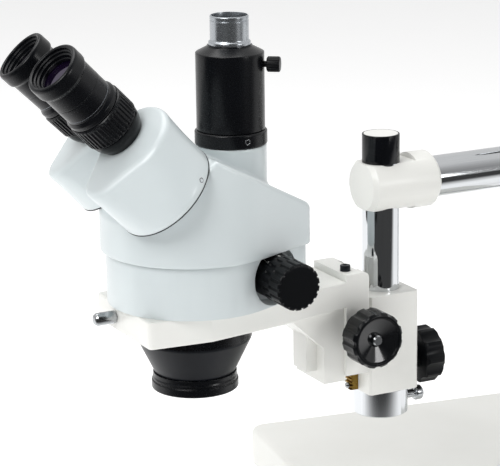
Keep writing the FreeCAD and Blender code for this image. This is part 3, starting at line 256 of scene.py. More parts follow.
def skin(name, grid, finish, body, hides=(), closed=False):
    """A grid of points in metres as one smooth skin: columns wrap round, and rows do if closed."""
    rows, cols = grid.shape[:2]
    last = rows if closed else rows - 1
    i, j = np.meshgrid(np.arange(last), np.arange(cols), indexing="ij")
    i2, j2 = (i + 1) % rows, (j + 1) % cols
    quads = np.stack([i * cols + j, i * cols + j2, i2 * cols + j2, i2 * cols + j], -1).reshape(-1, 4)
    mesh = bpy.data.meshes.new(name)
    mesh.from_pydata(grid.reshape(-1, 3).tolist(), [], quads.tolist())
    work = bmesh.new()
    work.from_mesh(mesh)
    bmesh.ops.remove_doubles(work, verts=work.verts, dist=1e-7)
    bmesh.ops.recalc_face_normals(work, faces=work.faces)
    work.to_mesh(mesh)
    work.free()
    mesh.shade_smooth()
    mesh.materials.append(finish)
    piece = bpy.data.objects.new(name, mesh)
    bpy.context.scene.collection.objects.link(piece)
    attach(piece, body)
    if hides:
        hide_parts(*hides)
    return piece


def rounded(profile, closed, steps=4):
    """Corners of a (radius, distance, rounding) profile in mm, each drawn as a small quadratic curve."""
    corners = np.array([p if len(p) == 3 else (*p, 0.3) for p in profile], float)
    spots, size = corners[:, :2], corners[:, 2]
    before, after = np.roll(spots, 1, 0) - spots, np.roll(spots, -1, 0) - spots
    length_b, length_a = np.linalg.norm(before, axis=1), np.linalg.norm(after, axis=1)
    cut = np.minimum(size, 0.42 * np.minimum(length_b, length_a))
    unit_b, unit_a = before / length_b[:, None], after / length_a[:, None]
    t = np.linspace(0, 1, steps + 1)[None, :, None]
    start, end = (spots + unit_b * cut[:, None])[:, None], (spots + unit_a * cut[:, None])[:, None]
    bend = (1 - t) ** 2 * start + 2 * t * (1 - t) * spots[:, None] + t ** 2 * end
    lead = (spots + unit_b * (cut + 0.06 * (length_b - cut))[:, None])[:, None]
    tail = (spots + unit_a * (cut + 0.06 * (length_a - cut))[:, None])[:, None]
    line = np.concatenate([lead, bend, tail], 1)
    if closed:
        return line.reshape(-1, 2)
    inner = line[1:-1].reshape(-1, 2)
    return np.concatenate([spots[:1], inner, spots[-1:]])


def turned(name, profile, centre, axis, finish, body, hides=(), closed=False, relief=None, around=96):
    """A profile in mm carried round an axis; relief(angle, distance, radius) changes the radius in mm."""
    line = rounded(profile, closed)
    angle = np.linspace(0, 2 * np.pi, around, endpoint=False)
    radius = np.repeat(line[:, :1], around, 1)
    along = np.repeat(line[:, 1:], around, 1)
    turn = np.repeat(angle[None, :], len(line), 0)
    if relief is not None:
        radius = radius + relief(turn, along, radius)
    first, second, forward = basis(axis)
    grid = (np.array(centre)[None, None, :] + MM * (radius * np.cos(turn))[..., None] * first
            + MM * (radius * np.sin(turn))[..., None] * second + MM * along[..., None] * forward)
    return skin(name, grid, finish, body, hides, closed)


def joint(name):
    """Place and direction of one of the model's joints."""
    found = next(j for j in frame["joints"] if j["name"] == name)
    return np.array(found["pos_m"]), np.array(found["axis"], float)


def levels(profile_start, low, high, count):
    """Evenly spaced points up a plain cylinder, so that relief has rows to work on."""
    return [(profile_start, s, 0.0) for s in np.linspace(low, high, count)]


# Polished black ABS of the dish and grip: deeper gloss than the plain moulded caps.
polished_abs = painted("polished_black_abs", "#0e1013", "#08090b", 0.24, 0.8, 0.04, 0.0, 0.25)
# The dish is buffed to a mirror.
mirror_abs = painted("buffed_black_abs_dish", "#0d0f12", "#090a0c", 0.09, 0.8, 0.01, 0.3, 0.5)

low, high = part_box("focus_knob_right")
knob_centre = ((low[0] + high[0]) / 2, 0, (low[2] + high[2]) / 2)
hub, grip, dish = 10.7, 18.0, 4.0


def scallops(angle, along, radius):
    """Twelve shallow hollows round the rim, fading out towards the middle of the face."""
    wave = np.clip(np.cos(12 * angle), 0, 1) ** 0.8
    return -1.1 * wave * np.clip((radius - 17.4) / 0.8, 0, 1) * (along > 0)


for side, label in ((-1, "right"), (1, "left")):
    low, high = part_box("focus_knob_" + label)
    inner_face = high[1] if side < 0 else low[1]
    start = (knob_centre[0], inner_face + side * hub * MM, knob_centre[2])
    turned("focus_knob_" + label + "_moulding",
           [(0, -hub), (9, -hub), (9, 0, 0.8), (17.2, 0), (19, 1.8, 0.5)] + levels(19, 3, grip - 3, 6)
           + [(19, grip - 1.8, 0.6), (17.2, grip, 0.5), (15.6, grip, 0.4), (15.4, grip - 1, 0.5),
              (4.6, grip - dish, 0.5), (0, grip - dish)],
           start, (0, side, 0), polished_abs, "focus_pinion",
           ["focus_knob_" + label], relief=scallops, around=192)
    turned("focus_dish_" + label,
           [(3.7, grip - dish + 0.06), (4.7, grip - dish + 0.08, 0.2), (15.2, grip - 0.95, 0.2),
            (15.2, grip - 1.4), (3.7, grip - dish - 0.2)],
           start, (0, side, 0), mirror_abs, "focus_pinion", closed=True, around=128)
for node in ("pinion_shaft", "focus_cap_nuts"):
    painted_node(node, turned_steel)


# ---------------------------------------------------------------------------
# Lower casting of the head: die-cast aluminium with cool light grey enamel. It
# sits on the bracket's ring and has a scoop on each side for the zoom knob.

# Head enamel: light grey with a touch of blue-green, semi-gloss.
head_enamel = painted("light_grey_head_enamel", "#d0d8d9", "#c8d0d2", 0.3, 1.4, 0.04, 0.35)
softened("zoom_body", head_enamel, "head", 0.8)


# ---------------------------------------------------------------------------
# Upper casting: one enamelled cover with a sloping roof, two seats that face up
# at 45 degrees for the prism housings, and the neck of the photo port.

foot_low, foot_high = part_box("post")
foot = np.array(((foot_low[0] + foot_high[0]) / 2, (foot_low[1] + foot_high[1]) / 2, foot_low[2]))
seat_place, seat_axis = {}, {}
for side, label in ((-1, "right"), (1, "left")):
    spot, turn = joint("ipd_" + label)
    seat_axis[side] = -turn / np.linalg.norm(turn)
    seat_place[side] = (spot - 0.010 * seat_axis[side] - foot) / MM


def belt(circles, arc=28, straight=12):
    """The outline round circles: arcs joined by their outer tangents. Gives each point's circle and angle."""
    circles = np.array(circles, float)
    here, there = circles, np.roll(circles, -1, 0)
    gap = there[:, :2] - here[:, :2]
    heading = np.arctan2(gap[:, 1], gap[:, 0])
    leave = heading - np.arccos((here[:, 2] - there[:, 2]) / np.linalg.norm(gap, axis=1))
    arrive = np.roll(leave, 1)
    sweep = (leave - arrive) % (2 * np.pi)
    t = np.linspace(0, 1, arc, endpoint=False)[None, :]
    arc_angle = arrive[:, None] + sweep[:, None] * t
    arc_circle = np.repeat(here[:, None, :], arc, 1)
    u = np.linspace(0, 1, straight, endpoint=False)[None, :, None]
    line_circle = here[:, None, :] * (1 - u) + there[:, None, :] * u
    line_angle = np.repeat(leave[:, None], straight, 1)
    circle = np.concatenate([arc_circle, line_circle], 1).reshape(-1, 3)
    return circle, np.concatenate([arc_angle, line_angle], 1).reshape(-1)


def outline(circle, angle, inset):
    """Points of a belt moved inwards by an inset, as rows for each inset."""
    reach = circle[None, :, 2] - np.atleast_1d(inset)[:, None]
    x = circle[None, :, 0] + reach * np.cos(angle)
    y = circle[None, :, 1] + reach * np.sin(angle)
    return np.stack([x, y], -1)


def lower_of(a, b, blend):
    """The lower of two heights, with the crease between them rounded over a blend width."""
    spread = np.clip(0.5 + 0.5 * (b - a) / blend, 0, 1)
    return b * (1 - spread) + a * spread - blend * spread * (1 - spread)


ridge_height, ridge_x, roof_fall = 204.0, -149.5, 0.5342
crease = 2.5


def roof(x, y):
    """Height of the cover: a plane falling to the back, and two planes square to the housings' axes."""
    height = ridge_height - roof_fall * (x - ridge_x)
    for side in (-1, 1):
        n, p = seat_axis[side], seat_place[side]
        seat = p[2] - (n[0] * (x - p[0]) + n[1] * (y - p[1])) / n[2]
        height = lower_of(height, seat, crease)
    return height


cover_bottom, cover_edge, cover_wall, cover_ceiling = 137.0, 3.2, 3.0, 4.0
head_x, head_round, back_x, back_half, back_round = -141.4, 59.5, -81.0, 29.1, 9.0
cover_circles = [(head_x, 0, head_round), (back_x, -back_half, back_round), (back_x, back_half, back_round)]
circle, angle = belt(cover_circles, 48, 20)
q = np.linspace(0, np.pi / 2, 9)
rows = []
wall = outline(circle, angle, 0.0)[0]
base_in = outline(circle, angle, np.array([1.0, 0.35, 0.0]))
rows += [np.concatenate([base_in[k], np.full((len(angle), 1), z)], 1)
         for k, z in enumerate((cover_bottom, cover_bottom + 0.25, cover_bottom + 0.9))]
top = roof(wall[:, 0], wall[:, 1])
rows += [np.column_stack([wall, cover_bottom + 0.9 + (top - cover_edge - cover_bottom - 0.9) * t])
         for t in np.linspace(0.05, 1.0, 12)]
fillet = outline(circle, angle, cover_edge * (1 - np.cos(q[1:])))
rows += [np.column_stack([p, roof(p[:, 0], p[:, 1]) - cover_edge * (1 - np.sin(a))])
         for p, a in zip(fillet, q[1:])]
middle = np.array((-125.0, 0.0))
rows += [np.column_stack([c, roof(c[:, 0], c[:, 1])])
         for c in (middle + (fillet[-1] - middle) * t for t in np.linspace(0.97, 0.0, 34))]
# Inside it is open below, with plain walls and a ceiling that follows the roof.
inside = outline(circle, angle, cover_wall)[0]
ceiling = [np.column_stack([c, roof(c[:, 0], c[:, 1]) - cover_ceiling])
           for c in (middle + (inside - middle) * t for t in np.linspace(0.0, 1.0, 12))]
cover = np.stack(ceiling + [np.column_stack([inside, np.full(len(angle), cover_bottom)])] + rows)
skin("upper_cover", foot + MM * cover, head_enamel, "head", ["upper_body"])

# The port's neck grows out of the roof with a cast fillet, its flare.
port = np.array((-112.2, 0.0))
neck_steps, neck_corner, neck_root = 112, 0.4, 170.0
neck_angle = np.linspace(0, 2 * np.pi, neck_steps, endpoint=False)
ring = np.column_stack([np.cos(neck_angle), np.sin(neck_angle)])
neck_radius, neck_top, flare = 23.0, 201.0, 3.0
neck_edge = neck_top - neck_corner
neck_rows = [np.column_stack([port + 0 * ring, np.full(neck_steps, neck_top)]),
             np.column_stack([port + (neck_radius - neck_corner) * ring, np.full(neck_steps, neck_top)]),
             np.column_stack([port + neck_radius * ring, np.full(neck_steps, neck_edge)])]
foot_height = roof(*(port + neck_radius * ring).T) + flare
neck_rows += [np.column_stack([port + neck_radius * ring, neck_edge + (foot_height - neck_edge) * t])
              for t in np.linspace(0.1, 1, 8)]
for a in np.linspace(0.2, np.pi / 2, 7):
    spread = port + (neck_radius + flare * (1 - np.cos(a))) * ring
    neck_rows.append(np.column_stack([spread, roof(*spread.T) + flare * (1 - np.sin(a)) - 0.02]))
rim = port + (neck_radius + flare) * ring
neck_rows.append(np.column_stack([rim, roof(*rim.T) - flare / 2]))
neck_rows.append(np.column_stack([port + 0 * ring, np.full(neck_steps, neck_root)]))
skin("port_neck", foot + MM * np.stack(neck_rows), head_enamel, "head")


# ---------------------------------------------------------------------------
# Prism housings: die-cast covers in the head's enamel. Each starts as a round
# drum at its pivot and blends to an egg-shaped front with softly rounded edges.

# Painted shadow: a near-black ring between drum and seat stands in for the seam's shadow line.
seam_shadow_black = painted("black_seal_ring", "#1c1e20", "#151618", 0.6, 0.8, 0.1, 0.0)

drum, front, edge_round = 34.0, 37.5, 4.0
drum_rise, top_of_wall, seam = 4.0, front - edge_round, 0.3


def shown_share(height):
    """How far the wall has gone from round drum to egg front: partly straight and partly eased."""
    share = max(0.0, (height - drum_rise) / (front - drum_rise))
    return 0.35 * share * share * (3 - 2 * share) + 0.65 * share


def level_row(flat, height):
    """A row of plan points, all at one height."""
    return np.column_stack([flat, np.full(len(flat), height)])


for side, label in ((-1, "right"), (1, "left")):
    up = np.array((math.sqrt(0.5), 0, math.sqrt(0.5)))
    axis = seat_axis[side]
    across = np.cross(axis, up)
    crown = (10.8, -side * 8.9, 26.5)
    chin = (-21.2, -side * 7.6, 13.0)
    circle, angle = belt([crown, chin], 72, 30)
    round_q = np.linspace(0, np.pi / 2, 10)
    inset = edge_round * (1 - np.cos(round_q))
    egg = outline(circle, angle, inset)
    drum_turn = np.unwrap(angle)
    step = np.linspace(0, 1, len(angle), endpoint=False)
    drum_turn = drum_turn[0] + (drum_turn - drum_turn[0]) * 0.55 + 2 * np.pi * step * 0.45
    base_ring = np.stack([np.cos(drum_turn), np.sin(drum_turn)], -1)
    rows = [level_row(0 * base_ring, 0.0), level_row((drum - 0.8) * base_ring, 0.0),
            level_row((drum - 0.25) * base_ring, 0.2), level_row(drum * base_ring, 0.9)]
    for height in np.linspace(1.6, top_of_wall, 26):
        share = shown_share(height)
        rows.append(level_row(drum * base_ring * (1 - share) + egg[0] * share, height))
    for k in range(1, 10):
        share = shown_share(top_of_wall) + (1 - shown_share(top_of_wall)) * math.sin(round_q[k])
        edge = drum * base_ring * (1 - share) + egg[k] * share
        rows.append(level_row(edge, top_of_wall + edge_round * math.sin(round_q[k])))
    heart = np.array((-3.0, -side * 8.2))
    for t in (0.93, 0.6, 0.3, 0.0):
        rows.append(level_row(heart + (egg[-1] - heart) * t, front))
    local = np.stack(rows)
    place = foot + MM * seat_place[side] + MM * seam * axis
    grid = place + MM * (local[..., :1] * up + local[..., 1:2] * across + local[..., 2:] * axis)
    skin(label + "_housing_cover", grid, head_enamel, label + "_binocular",
         [label + "_prism_housing"])
    # The near-black ring in the seam is painted shade for the gap under the drum.
    turned(label + "_seal_ring", [(34.1, -0.29, 0.05), (32.2, -0.29), (32.2, 0.3), (34.1, 0.3, 0.05)],
           place, axis, seam_shadow_black, "head", closed=True)
    screw_turn = math.radians(side * 62)
    outward = math.cos(screw_turn) * up + math.sin(screw_turn) * across
    turned(label + "_set_screw",
           [(0, -0.8), (1.7, -0.8), (1.7, 0.12, 0.1), (1.1, 0.12, 0.1), (0.9, -0.5, 0.1), (0, -0.5)],
           place + MM * (drum * outward + 4.0 * axis), outward, turned_steel, label + "_binocular",
           around=24)


# ---------------------------------------------------------------------------
# Eyepiece tubes, diopter rings and eyepieces: turned aluminium, anodised satin
# black. Each tube is pressed in its housing, and the eyepiece drops into it.

def machined(name, light, dark, rough, pitch_mm=0.9, depth=0.05, metallic=0.0, coat=0.0, mirror=0.5):
    """Anodised metal: a fine grain of one pitch in the gloss and bump, over tones that drift across 15 mm."""
    finish = bpy.data.materials.new(name)
    finish.use_nodes = True
    tree = finish.node_tree
    shader = tree.nodes["Principled BSDF"]
    shader.inputs["Metallic"].default_value = metallic
    shader.inputs["Coat Weight"].default_value = coat
    shader.inputs["Coat Roughness"].default_value = 0.15
    shader.inputs["Specular IOR Level"].default_value = mirror
    place = add(tree, "ShaderNodeTexCoord").outputs["Object"]
    grain = add(tree, "ShaderNodeTexNoise", {"Vector": place}, Scale=1 / (pitch_mm * MM), Detail=4.0)
    cloud = add(tree, "ShaderNodeTexNoise", {"Vector": place}, Scale=1 / (15 * MM), Detail=2.0)
    tone = add(tree, "ShaderNodeMix", {"Factor": cloud.outputs["Fac"]}, data_type="RGBA")
    tone.inputs[6].default_value = linear(light)
    tone.inputs[7].default_value = linear(dark)
    tree.links.new(tone.outputs[2], shader.inputs["Base Color"])
    gloss = add(tree, "ShaderNodeMapRange", {"Value": grain.outputs["Fac"]})
    gloss.inputs["To Min"].default_value = rough - 0.05
    gloss.inputs["To Max"].default_value = rough + 0.08
    tree.links.new(gloss.outputs["Result"], shader.inputs["Roughness"])
    bump = add(tree, "ShaderNodeBump", {"Height": grain.outputs["Fac"]}, Strength=depth, Distance=0.1 * MM)
    tree.links.new(bump.outputs["Normal"], shader.inputs["Normal"])
    return finish


# Satin black anodising: a dark, slightly blue sheen with soft wide highlights.
satin_black = machined("satin_black_anodised_aluminium", "#0c0e12", "#07080b", 0.25, mirror=0.28)
# The smooth flats between the rings carry a glossier black.
gloss_black = machined("gloss_black_anodised_rim", "#0a0b0e", "#060709", 0.2, mirror=0.2)
# Bare bright line turned into the barrel after anodising.
bright_line = machined("bare_turned_aluminium_line", "#8e9197", "#777b81", 0.3, metallic=0.8)
# Matt black baffle paint inside the eyepiece.
baffle_black = painted("matt_black_baffle_paint", "#0a0a0c", "#060607", 0.8, 0.6, 0.1, 0.0, 0.2)


def coated_glass(name, tint, painted_sheen):
    """Optical glass seen from outside: dark, with a violet coating tint in its reflections and a painted
    violet sheen in its colour towards grazing view, patchy over 12 mm.
    """
    finish = bpy.data.materials.new(name)
    finish.use_nodes = True
    tree = finish.node_tree
    shader = tree.nodes["Principled BSDF"]
    place = add(tree, "ShaderNodeTexCoord").outputs["Object"]
    depth = add(tree, "ShaderNodeTexNoise", {"Vector": place}, Scale=1 / (12 * MM), Detail=1.0)
    # Painted sheen: the colour turns lighter violet towards grazing view, in patches.
    edge = add(tree, "ShaderNodeLayerWeight", Blend=0.35)
    mixed = add(tree, "ShaderNodeMath", {0: depth.outputs["Fac"], 1: edge.outputs["Facing"]},
                operation="MULTIPLY")
    tone = add(tree, "ShaderNodeMix", {"Factor": mixed.outputs["Value"]}, data_type="RGBA")
    tone.inputs[6].default_value = linear(tint)
    tone.inputs[7].default_value = linear(painted_sheen)
    tree.links.new(tone.outputs[2], shader.inputs["Base Color"])
    shader.inputs["Roughness"].default_value = 0.03
    shader.inputs["IOR"].default_value = 1.6
    shader.inputs["Coat Weight"].default_value = 1.0
    shader.inputs["Coat Roughness"].default_value = 0.02
    shader.inputs["Coat Tint"].default_value = linear("#a890c4")
    return finish


# Coated crown glass over a black barrel: dark wine, with violet as a painted sheen towards grazing view.
violet_glass = coated_glass("violet_coated_glass_with_painted_sheen", "#15101a", "#3c2a48")


def ribs(angle, along, radius):
    """Forty square ribs round the ring, cut 0.75 mm deep between two plain end bands."""
    wave = np.clip(1.6 * np.cos(40 * angle) + 0.5, 0, 1)
    outside = np.clip((radius - 18.2) / 0.5, 0, 1)
    between = np.clip((along - 0.9) / 0.3, 0, 1) * np.clip((16.3 - along) / 0.3, 0, 1)
    return -0.75 * wave * outside * between


for side, label in ((-1, "right"), (1, "left")):
    spot, axis = joint("eyepiece_lift_" + label)
    face = spot - 0.030 * axis
    turned(label + "_tube_skirt",
           [(13.25, -6), (14.5, -6), (14.5, 0, 0.0), (15.2, 0, 0.2), (15.9, 1.6, 1.2), (17.6, 5.2, 2.0),
            (18.2, 8.6, 1.0), (18.2, 10.5, 0.4), (15.6, 10.5, 0.2), (15.6, 27.9), (13.25, 27.9)],
           face, axis, gloss_black, label + "_binocular", [label + "_eyepiece_tube"],
           closed=True)
    turned(label + "_ribbed_ring",
           [(15.65, 0), (18.4, 0, 0.2), (19.1, 0.7, 0.2)] + levels(19.1, 0.95, 16.25, 7)
           + [(19.1, 16.5, 0.2), (18.4, 17.2, 0.2), (15.65, 17.2)],
           face + 0.0108 * axis, axis, satin_black, label + "_diopter",
           [label + "_diopter_ring"], closed=True, relief=ribs, around=480)
    top = 0.0283 * axis + face
    turned(label + "_eyepiece_body",
           [(11.2, -16), (13.2, -16), (13.2, 0, 0.1), (18.2, 0, 0.5), (18.4, 1.0, 0.3), (18.4, 3.4, 0.3),
            (17.3, 5.4, 0.5), (17.0, 5.7, 0.2), (17.0, 6.9, 0.1), (16.7, 7.05, 0.1), (16.7, 7.5, 0.1),
            (17.0, 7.65, 0.1), (17.0, 17.6, 0.1), (16.85, 17.75, 0.1), (16.85, 18.1, 0.1),
            (17.0, 18.25, 0.1), (17.0, 29.4, 0.3), (17.5, 30.2, 0.4), (18.2, 31.0, 0.5),
            (18.4, 32.2, 0.4), (18.4, 38.9, 0.6), (17.9, 40.4, 0.6),
            (16.6, 41.0, 0.5), (15.4, 40.4, 0.3), (15.2, 38.6, 0.2), (14.3, 38.3, 0.2), (14.1, 36.8, 0.2),
            (13.0, 36.5, 0.2), (12.6, 34.4, 0.2), (11.86, 34.2, 0.1), (11.86, 28.8), (11.2, 28.6)],
           top, axis, satin_black, label + "_eyepiece", [label + "_eyepiece"],
           closed=True, around=128)
    turned(label + "_bright_line",
           [(16.6, 7.1, 0.05), (16.95, 7.12, 0.05), (16.95, 7.42, 0.05), (16.6, 7.44, 0.05)],
           top, axis, bright_line, label + "_eyepiece", closed=True, around=128)
    turned(label + "_coated_eye_lens",
           [(0, 29.2), (11.2, 30.2, 0.2), (11.8, 30.6, 0.2), (11.8, 32.2, 0.2), (9.5, 32.9, 1.5),
            (5.0, 33.25, 2.0), (0, 33.3)],
           top, axis, violet_glass, label + "_eyepiece", [label + "_eye_lens"], around=72)
    turned(label + "_field_stop",
           [(7.5, 20.0), (11.15, 20.0), (11.15, 21.0), (7.5, 21.0)],
           top, axis, baffle_black, label + "_eyepiece", closed=True, around=64)


# ---------------------------------------------------------------------------
# Objective: a turned cone with a rim that takes a ring light, both anodised
# satin black with a blue-grey cast, and the pair of lenses inside.

# Bead-blasted then anodised: greyer and more matt than the eyepieces.
cone_black = machined("blasted_dark_anodised_cone", "#181a1f", "#121418", 0.34, 1.2, 0.06, mirror=0.22)
under_head = foot + MM * np.array((head_x, 0.0, 0.0))
turned("objective_cone_turned",
       [(23.5, 53), (26.5, 53, 0.3), (37.4, 75.5, 0.4), (37.4, 77), (31, 77), (31, 76), (23.5, 56)],
       under_head, (0, 0, 1), cone_black, "head", ["objective_cone"],
       closed=True, around=160)
turned("objective_rim_turned",
       [(24, 41.8, 0.3), (27.9, 41.8, 0.3), (28.5, 42.4, 0.3), (28.5, 47.2, 0.4), (27.7, 47.8, 0.2),
        (27.7, 48.9, 0.2), (27.9, 49.1, 0.2), (27.5, 50.3, 0.3), (27.5, 52.9), (24.0, 52.9), (24.0, 51.0),
        (24.5, 50.2, 0.2),
        (24.5, 44.0, 0.2), (24.0, 43.6, 0.2)],
       under_head, (0, 0, 1), satin_black, "head", ["objective_ring"],
       closed=True, around=160)
turned("objective_lens_plate", [(0, 56.2), (25.0, 56.2), (25.0, 60), (0, 60)], under_head, (0, 0, 1),
       baffle_black, "head", around=96)
for name in ("objective_lenses", "low_zoom_lenses", "high_zoom_lenses", "right_prism", "left_prism",
             "beam_splitter"):
    painted_node(name, violet_glass)
painted_node("head_spigot", satin_black)
painted_node("lens_guide_rods", turned_steel)
painted_node("zoom_shaft", turned_steel)


# ---------------------------------------------------------------------------
# Zoom knobs: moulded black ABS pressed on the zoom shaft. The plain neck carries
# the white dial and the outer part has two staggered rows of grip slots.

zoom_spot = joint("zoom_turn")[0]
zoom_start = abs(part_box("zoom_knob_right")[1][1] - zoom_spot[1]) / MM
neck_long, grip_long = 23.0, 23.0


def slots(angle, along, radius):
    """Two rows of eighteen grip slots, the second row half a step round from the first."""
    first_row = (along > neck_long + 2.2) & (along < neck_long + 9.4)
    inner = np.clip(4 * np.cos(18 * angle) - 1.4, 0, 1) * first_row
    outer = np.clip(4 * np.cos(18 * angle + np.pi) - 1.4, 0, 1) * (along > neck_long + 10.4)
    return -1.2 * np.maximum(inner, outer) * (radius > 13.5)


for side, label in ((-1, "right"), (1, "left")):
    start = zoom_spot + np.array((0, side * zoom_start * MM, 0))
    end = neck_long + grip_long
    turned("zoom_knob_" + label + "_moulding",
           [(0, 0), (14.0, 0, 0.4), (14.6, 0.6, 0.4), (14.6, neck_long - 0.3, 0.1),
            (15.2, neck_long + 0.2, 0.2)]
           + levels(15.2, neck_long + 1, end - 1.9, 30)
           + [(15.2, end - 1.2, 0.3), (14.4, end - 0.2, 0.4), (13.2, end, 0.3), (0, end)],
           start, (0, side, 0), black_abs, "zoom_drive", ["zoom_knob_" + label],
           relief=slots, around=360)

# White filled marks and figures of the dial, 2.6 mm high, on the right neck.
dial_white = painted("white_dial_filling", "#e9e9e6", "#dcdcd8", 0.5, 0.5, 0.05, 0.0)
dial_radius = 14.66


def wrapped(name, flat, faces, tilt, side):
    """Flat figures rolled round the neck: width becomes an angle, and height a place along the axis."""
    first, second, forward = basis((0, side, 0))
    turn = tilt + flat[:, 0] / dial_radius
    out = dial_radius * (np.cos(turn)[:, None] * first + np.sin(turn)[:, None] * second)
    points = zoom_spot + MM * (out + (zoom_start + flat[:, 1])[:, None] * forward)
    mesh = bpy.data.meshes.new(name)
    mesh.from_pydata(points.tolist(), [], faces)
    mesh.materials.append(dial_white)
    piece = bpy.data.objects.new(name, mesh)
    bpy.context.scene.collection.objects.link(piece)
    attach(piece, "zoom_drive")


for mark, figure in enumerate(("1", "2", "3", "4", "5")):
    tilt = math.radians(-100 + 34 * mark)
    text = bpy.data.curves.new("figure", "FONT")
    text.body = figure
    text.size = 4.4
    text.align_x = "CENTER"
    holder = bpy.data.objects.new("figure", text)
    bpy.context.scene.collection.objects.link(holder)
    drawn = bpy.data.meshes.new_from_object(holder)
    flat = np.empty(len(drawn.vertices) * 3)
    drawn.vertices.foreach_get("co", flat)
    flat = flat.reshape(-1, 3)[:, :2] * np.array((-1, -1)) + np.array((0, 21.5))
    wrapped("dial_figure_" + figure, flat, [list(p.vertices)[::-1] for p in drawn.polygons], tilt, -1)
    bpy.data.objects.remove(holder)
    bpy.data.curves.remove(text)
    bpy.data.meshes.remove(drawn)
    tick = np.array(((-0.25, 15.6), (0.25, 15.6), (0.25, 17.6), (-0.25, 17.6)))
    wrapped("dial_tick_" + figure, tick, [[0, 3, 2, 1]], tilt, -1)


# ---------------------------------------------------------------------------
# Photo port: a knurl-free ring with a set screw, the black photo tube above it
# with a chamfered shoulder, and the silver camera tube held by a thumbscrew.

# Clear-anodised aluminium of the camera tube: bright satin, brushed round.
satin_silver = machined("satin_clear_anodised_aluminium", "#c3c7cb", "#aeb3b8", 0.26, 0.6, 0.08, 0.95)
port_foot = foot + MM * np.array((port[0], port[1], 0.0))
turned("port_ring_turned",
       [(16.1, 195.2), (18.9, 195.2), (18.9, 201.0, 0.0), (22.7, 201.0, 0.3), (23.5, 201.8, 0.4),
        (23.5, 209.7, 0.4), (22.7, 210.5, 0.3), (16.1, 210.5)],
       port_foot, (0, 0, 1), satin_black, "head",
       ["photo_port_ring"], closed=True, around=160)
turned("photo_tube_turned",
       [(12.55, 203), (16, 203), (16, 210.5, 0.0), (21.6, 210.5, 0.2), (22.1, 211.1, 0.3), (22.1, 260.7, 0.5),
        (14.6, 264.6, 0.4), (14.6, 265.3, 0.2), (12.55, 265.3), (12.55, 236.0), (15.5, 235.0),
        (15.5, 211), (12.55, 210)],
       port_foot, (0, 0, 1), satin_black, "head", ["photo_tube_body"],
       closed=True, around=160)
turned("camera_tube_turned",
       [(11.6, 239.3), (12.5, 239.3), (12.5, 265.6, 0.05), (13.6, 265.6, 0.3), (13.6, 267.6, 0.6),
        (12.5, 268.6, 0.5), (12.5, 281.1, 0.1), (12.15, 281.3, 0.1), (12.15, 281.8, 0.1), (12.5, 282.0, 0.1),
        (12.5, 283.9, 0.3),
        (12.1, 284.4, 0.2), (11.6, 284.4, 0.1)],
       port_foot, (0, 0, 1), satin_silver, "photo_tube", ["photo_tube"],
       closed=True, around=128)
softened("photo_thumbscrew", black_abs, "photo_screw", 0.25)
for name in ("low_lens_carrier", "high_lens_carrier"):
    painted_node(name, satin_silver)
ring_turn = math.radians(-90)
ring_out = np.array((math.cos(ring_turn), math.sin(ring_turn), 0))
turned("port_set_screw",
       [(0, -0.9), (1.9, -0.9), (1.9, 0.14, 0.1), (1.35, 0.14, 0.1), (0.95, -0.6, 0.1), (0, -0.6)],
       port_foot + MM * (23.5 * ring_out + np.array((0, 0, 205.8))), ring_out, turned_steel, "head",
       around=24)


# ---------------------------------------------------------------------------
# Studio: a seamless pale floor, large soft lights overhead and to the left, a
# small one to the right, a room that is dark before the stand for the chrome, and
# a painted dark reflection in the floor before the stand, seen by polished parts only.

floor_finish = painted("pale_studio_paper_with_painted_reflection", "#f6f6f6", "#f4f4f4", 0.9, 5.0, 0.0, 0.0)
paper = floor_finish.node_tree.nodes["Principled BSDF"]
paper.inputs["Emission Color"].default_value = (1, 1, 1, 1)
paper.inputs["Emission Strength"].default_value = 0.3
# Painted reflection: polished parts see the floor before the stand as a faint dark glow, glossy rays only;
# the eye and the soft light see the pale paper.
floor_nodes = floor_finish.node_tree
place = add(floor_nodes, "ShaderNodeTexCoord").outputs["Object"]
ahead = add(floor_nodes, "ShaderNodeVectorMath", {0: place}, operation="DOT_PRODUCT")
ahead.inputs[1].default_value = (-0.446, -0.858, 0.0)
spread = add(floor_nodes, "ShaderNodeMapRange", {"Value": ahead.outputs["Value"]}, interpolation_type="SMOOTHSTEP")
spread.inputs["From Min"].default_value = 0.12
spread.inputs["From Max"].default_value = 0.45
seen = add(floor_nodes, "ShaderNodeLightPath").outputs["Is Glossy Ray"]
share = add(floor_nodes, "ShaderNodeMath", {0: spread.outputs["Result"], 1: seen}, operation="MULTIPLY")
# Painted reflection: a faint dark glow that glossy rays see in place of the pale floor.
dark = add(floor_nodes, "ShaderNodeEmission", Strength=0.06)
mixed = add(floor_nodes, "ShaderNodeMixShader", {"Fac": share.outputs["Value"]})
floor_nodes.links.new(paper.outputs["BSDF"], mixed.inputs[1])
floor_nodes.links.new(dark.outputs["Emission"], mixed.inputs[2])
floor_nodes.links.new(mixed.outputs["Shader"], floor_nodes.nodes["Material Output"].inputs["Surface"])
floor_radius = 20
disc = np.linspace(0, 2 * np.pi, 64, endpoint=False)
floor_edge = floor_radius * np.column_stack([np.cos(disc), np.sin(disc), 0 * disc])
floor_mesh = bpy.data.meshes.new("studio_floor")
floor_mesh.from_pydata(floor_edge.tolist(), [], [list(range(len(disc)))])
floor_mesh.materials.append(floor_finish)
floor = bpy.data.objects.new("studio_floor", floor_mesh)
bpy.context.scene.collection.objects.link(floor)


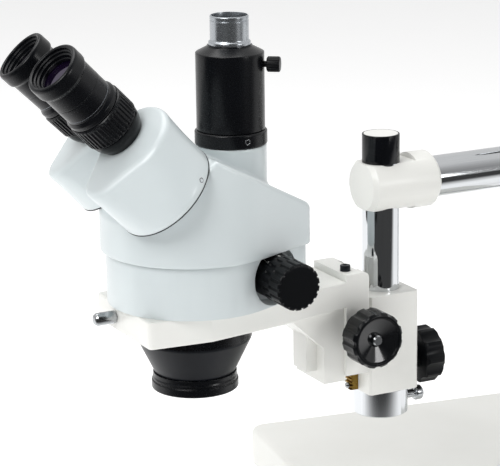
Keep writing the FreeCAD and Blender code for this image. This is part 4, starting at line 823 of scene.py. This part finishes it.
def soft_light(name, place, target, size, power):
    """A square area light aimed from a place at a target."""
    lamp = bpy.data.lights.new(name, "AREA")
    lamp.shape = "SQUARE"
    lamp.size = size
    lamp.energy = power
    holder = bpy.data.objects.new(name, lamp)
    back = np.array(place, float) - np.array(target, float)
    out = back / np.linalg.norm(back)
    side = np.cross((0, 0, 1.0), out)
    side = side / np.linalg.norm(side)
    rise = np.cross(out, side)
    holder.matrix_world = Matrix([[side[k], rise[k], out[k], place[k]] for k in range(3)] + [[0, 0, 0, 1]])
    bpy.context.scene.collection.objects.link(holder)


soft_light("key", (-1.5, -0.7, 1.3), (-0.25, -0.03, 0.2), 0.9, 17)
soft_light("fill", (0.65, -1.71, 0.59), (-0.2, -0.06, 0.17), 0.45, 5)
soft_light("top", (-0.3, 0.4, 1.9), (-0.2, -0.03, 0.0), 1.3, 15)

world = bpy.data.worlds.new("studio")
world.use_nodes = True
sky = world.node_tree
toward = add(sky, "ShaderNodeTexCoord").outputs["Generated"]
facing = add(sky, "ShaderNodeVectorMath", {0: toward}, operation="DOT_PRODUCT")
facing.inputs[1].default_value = (-0.446, -0.858, 0.25)
shade = add(sky, "ShaderNodeMapRange", {"Value": facing.outputs["Value"]}, interpolation_type="SMOOTHSTEP")
shade.inputs["From Min"].default_value = 0.1
shade.inputs["From Max"].default_value = 0.85
shade.inputs["To Min"].default_value = 0.75
shade.inputs["To Max"].default_value = 0.04
sky.links.new(shade.outputs["Result"], sky.nodes["Background"].inputs["Strength"])
sky.nodes["Background"].inputs["Color"].default_value = (1, 1, 1, 1)
bpy.context.scene.world = world
bpy.context.scene.view_settings.view_transform = "Standard"

lens = bpy.data.cameras.new("camera")
lens.sensor_width = 36.0
lens.lens = 161.98
camera = bpy.data.objects.new("camera", lens)
right, upward, ahead = (0.8856, -0.46426, -0.01334), (0.13064, 0.22144, 0.96638), (0.4457, 0.85757, -0.25676)
stood = (-0.92014, -1.29577, 0.61597)
camera.matrix_world = Matrix([[right[k], upward[k], -ahead[k], stood[k]] for k in range(3)] + [[0, 0, 0, 1]])
bpy.context.scene.collection.objects.link(camera)
bpy.context.scene.camera = camera
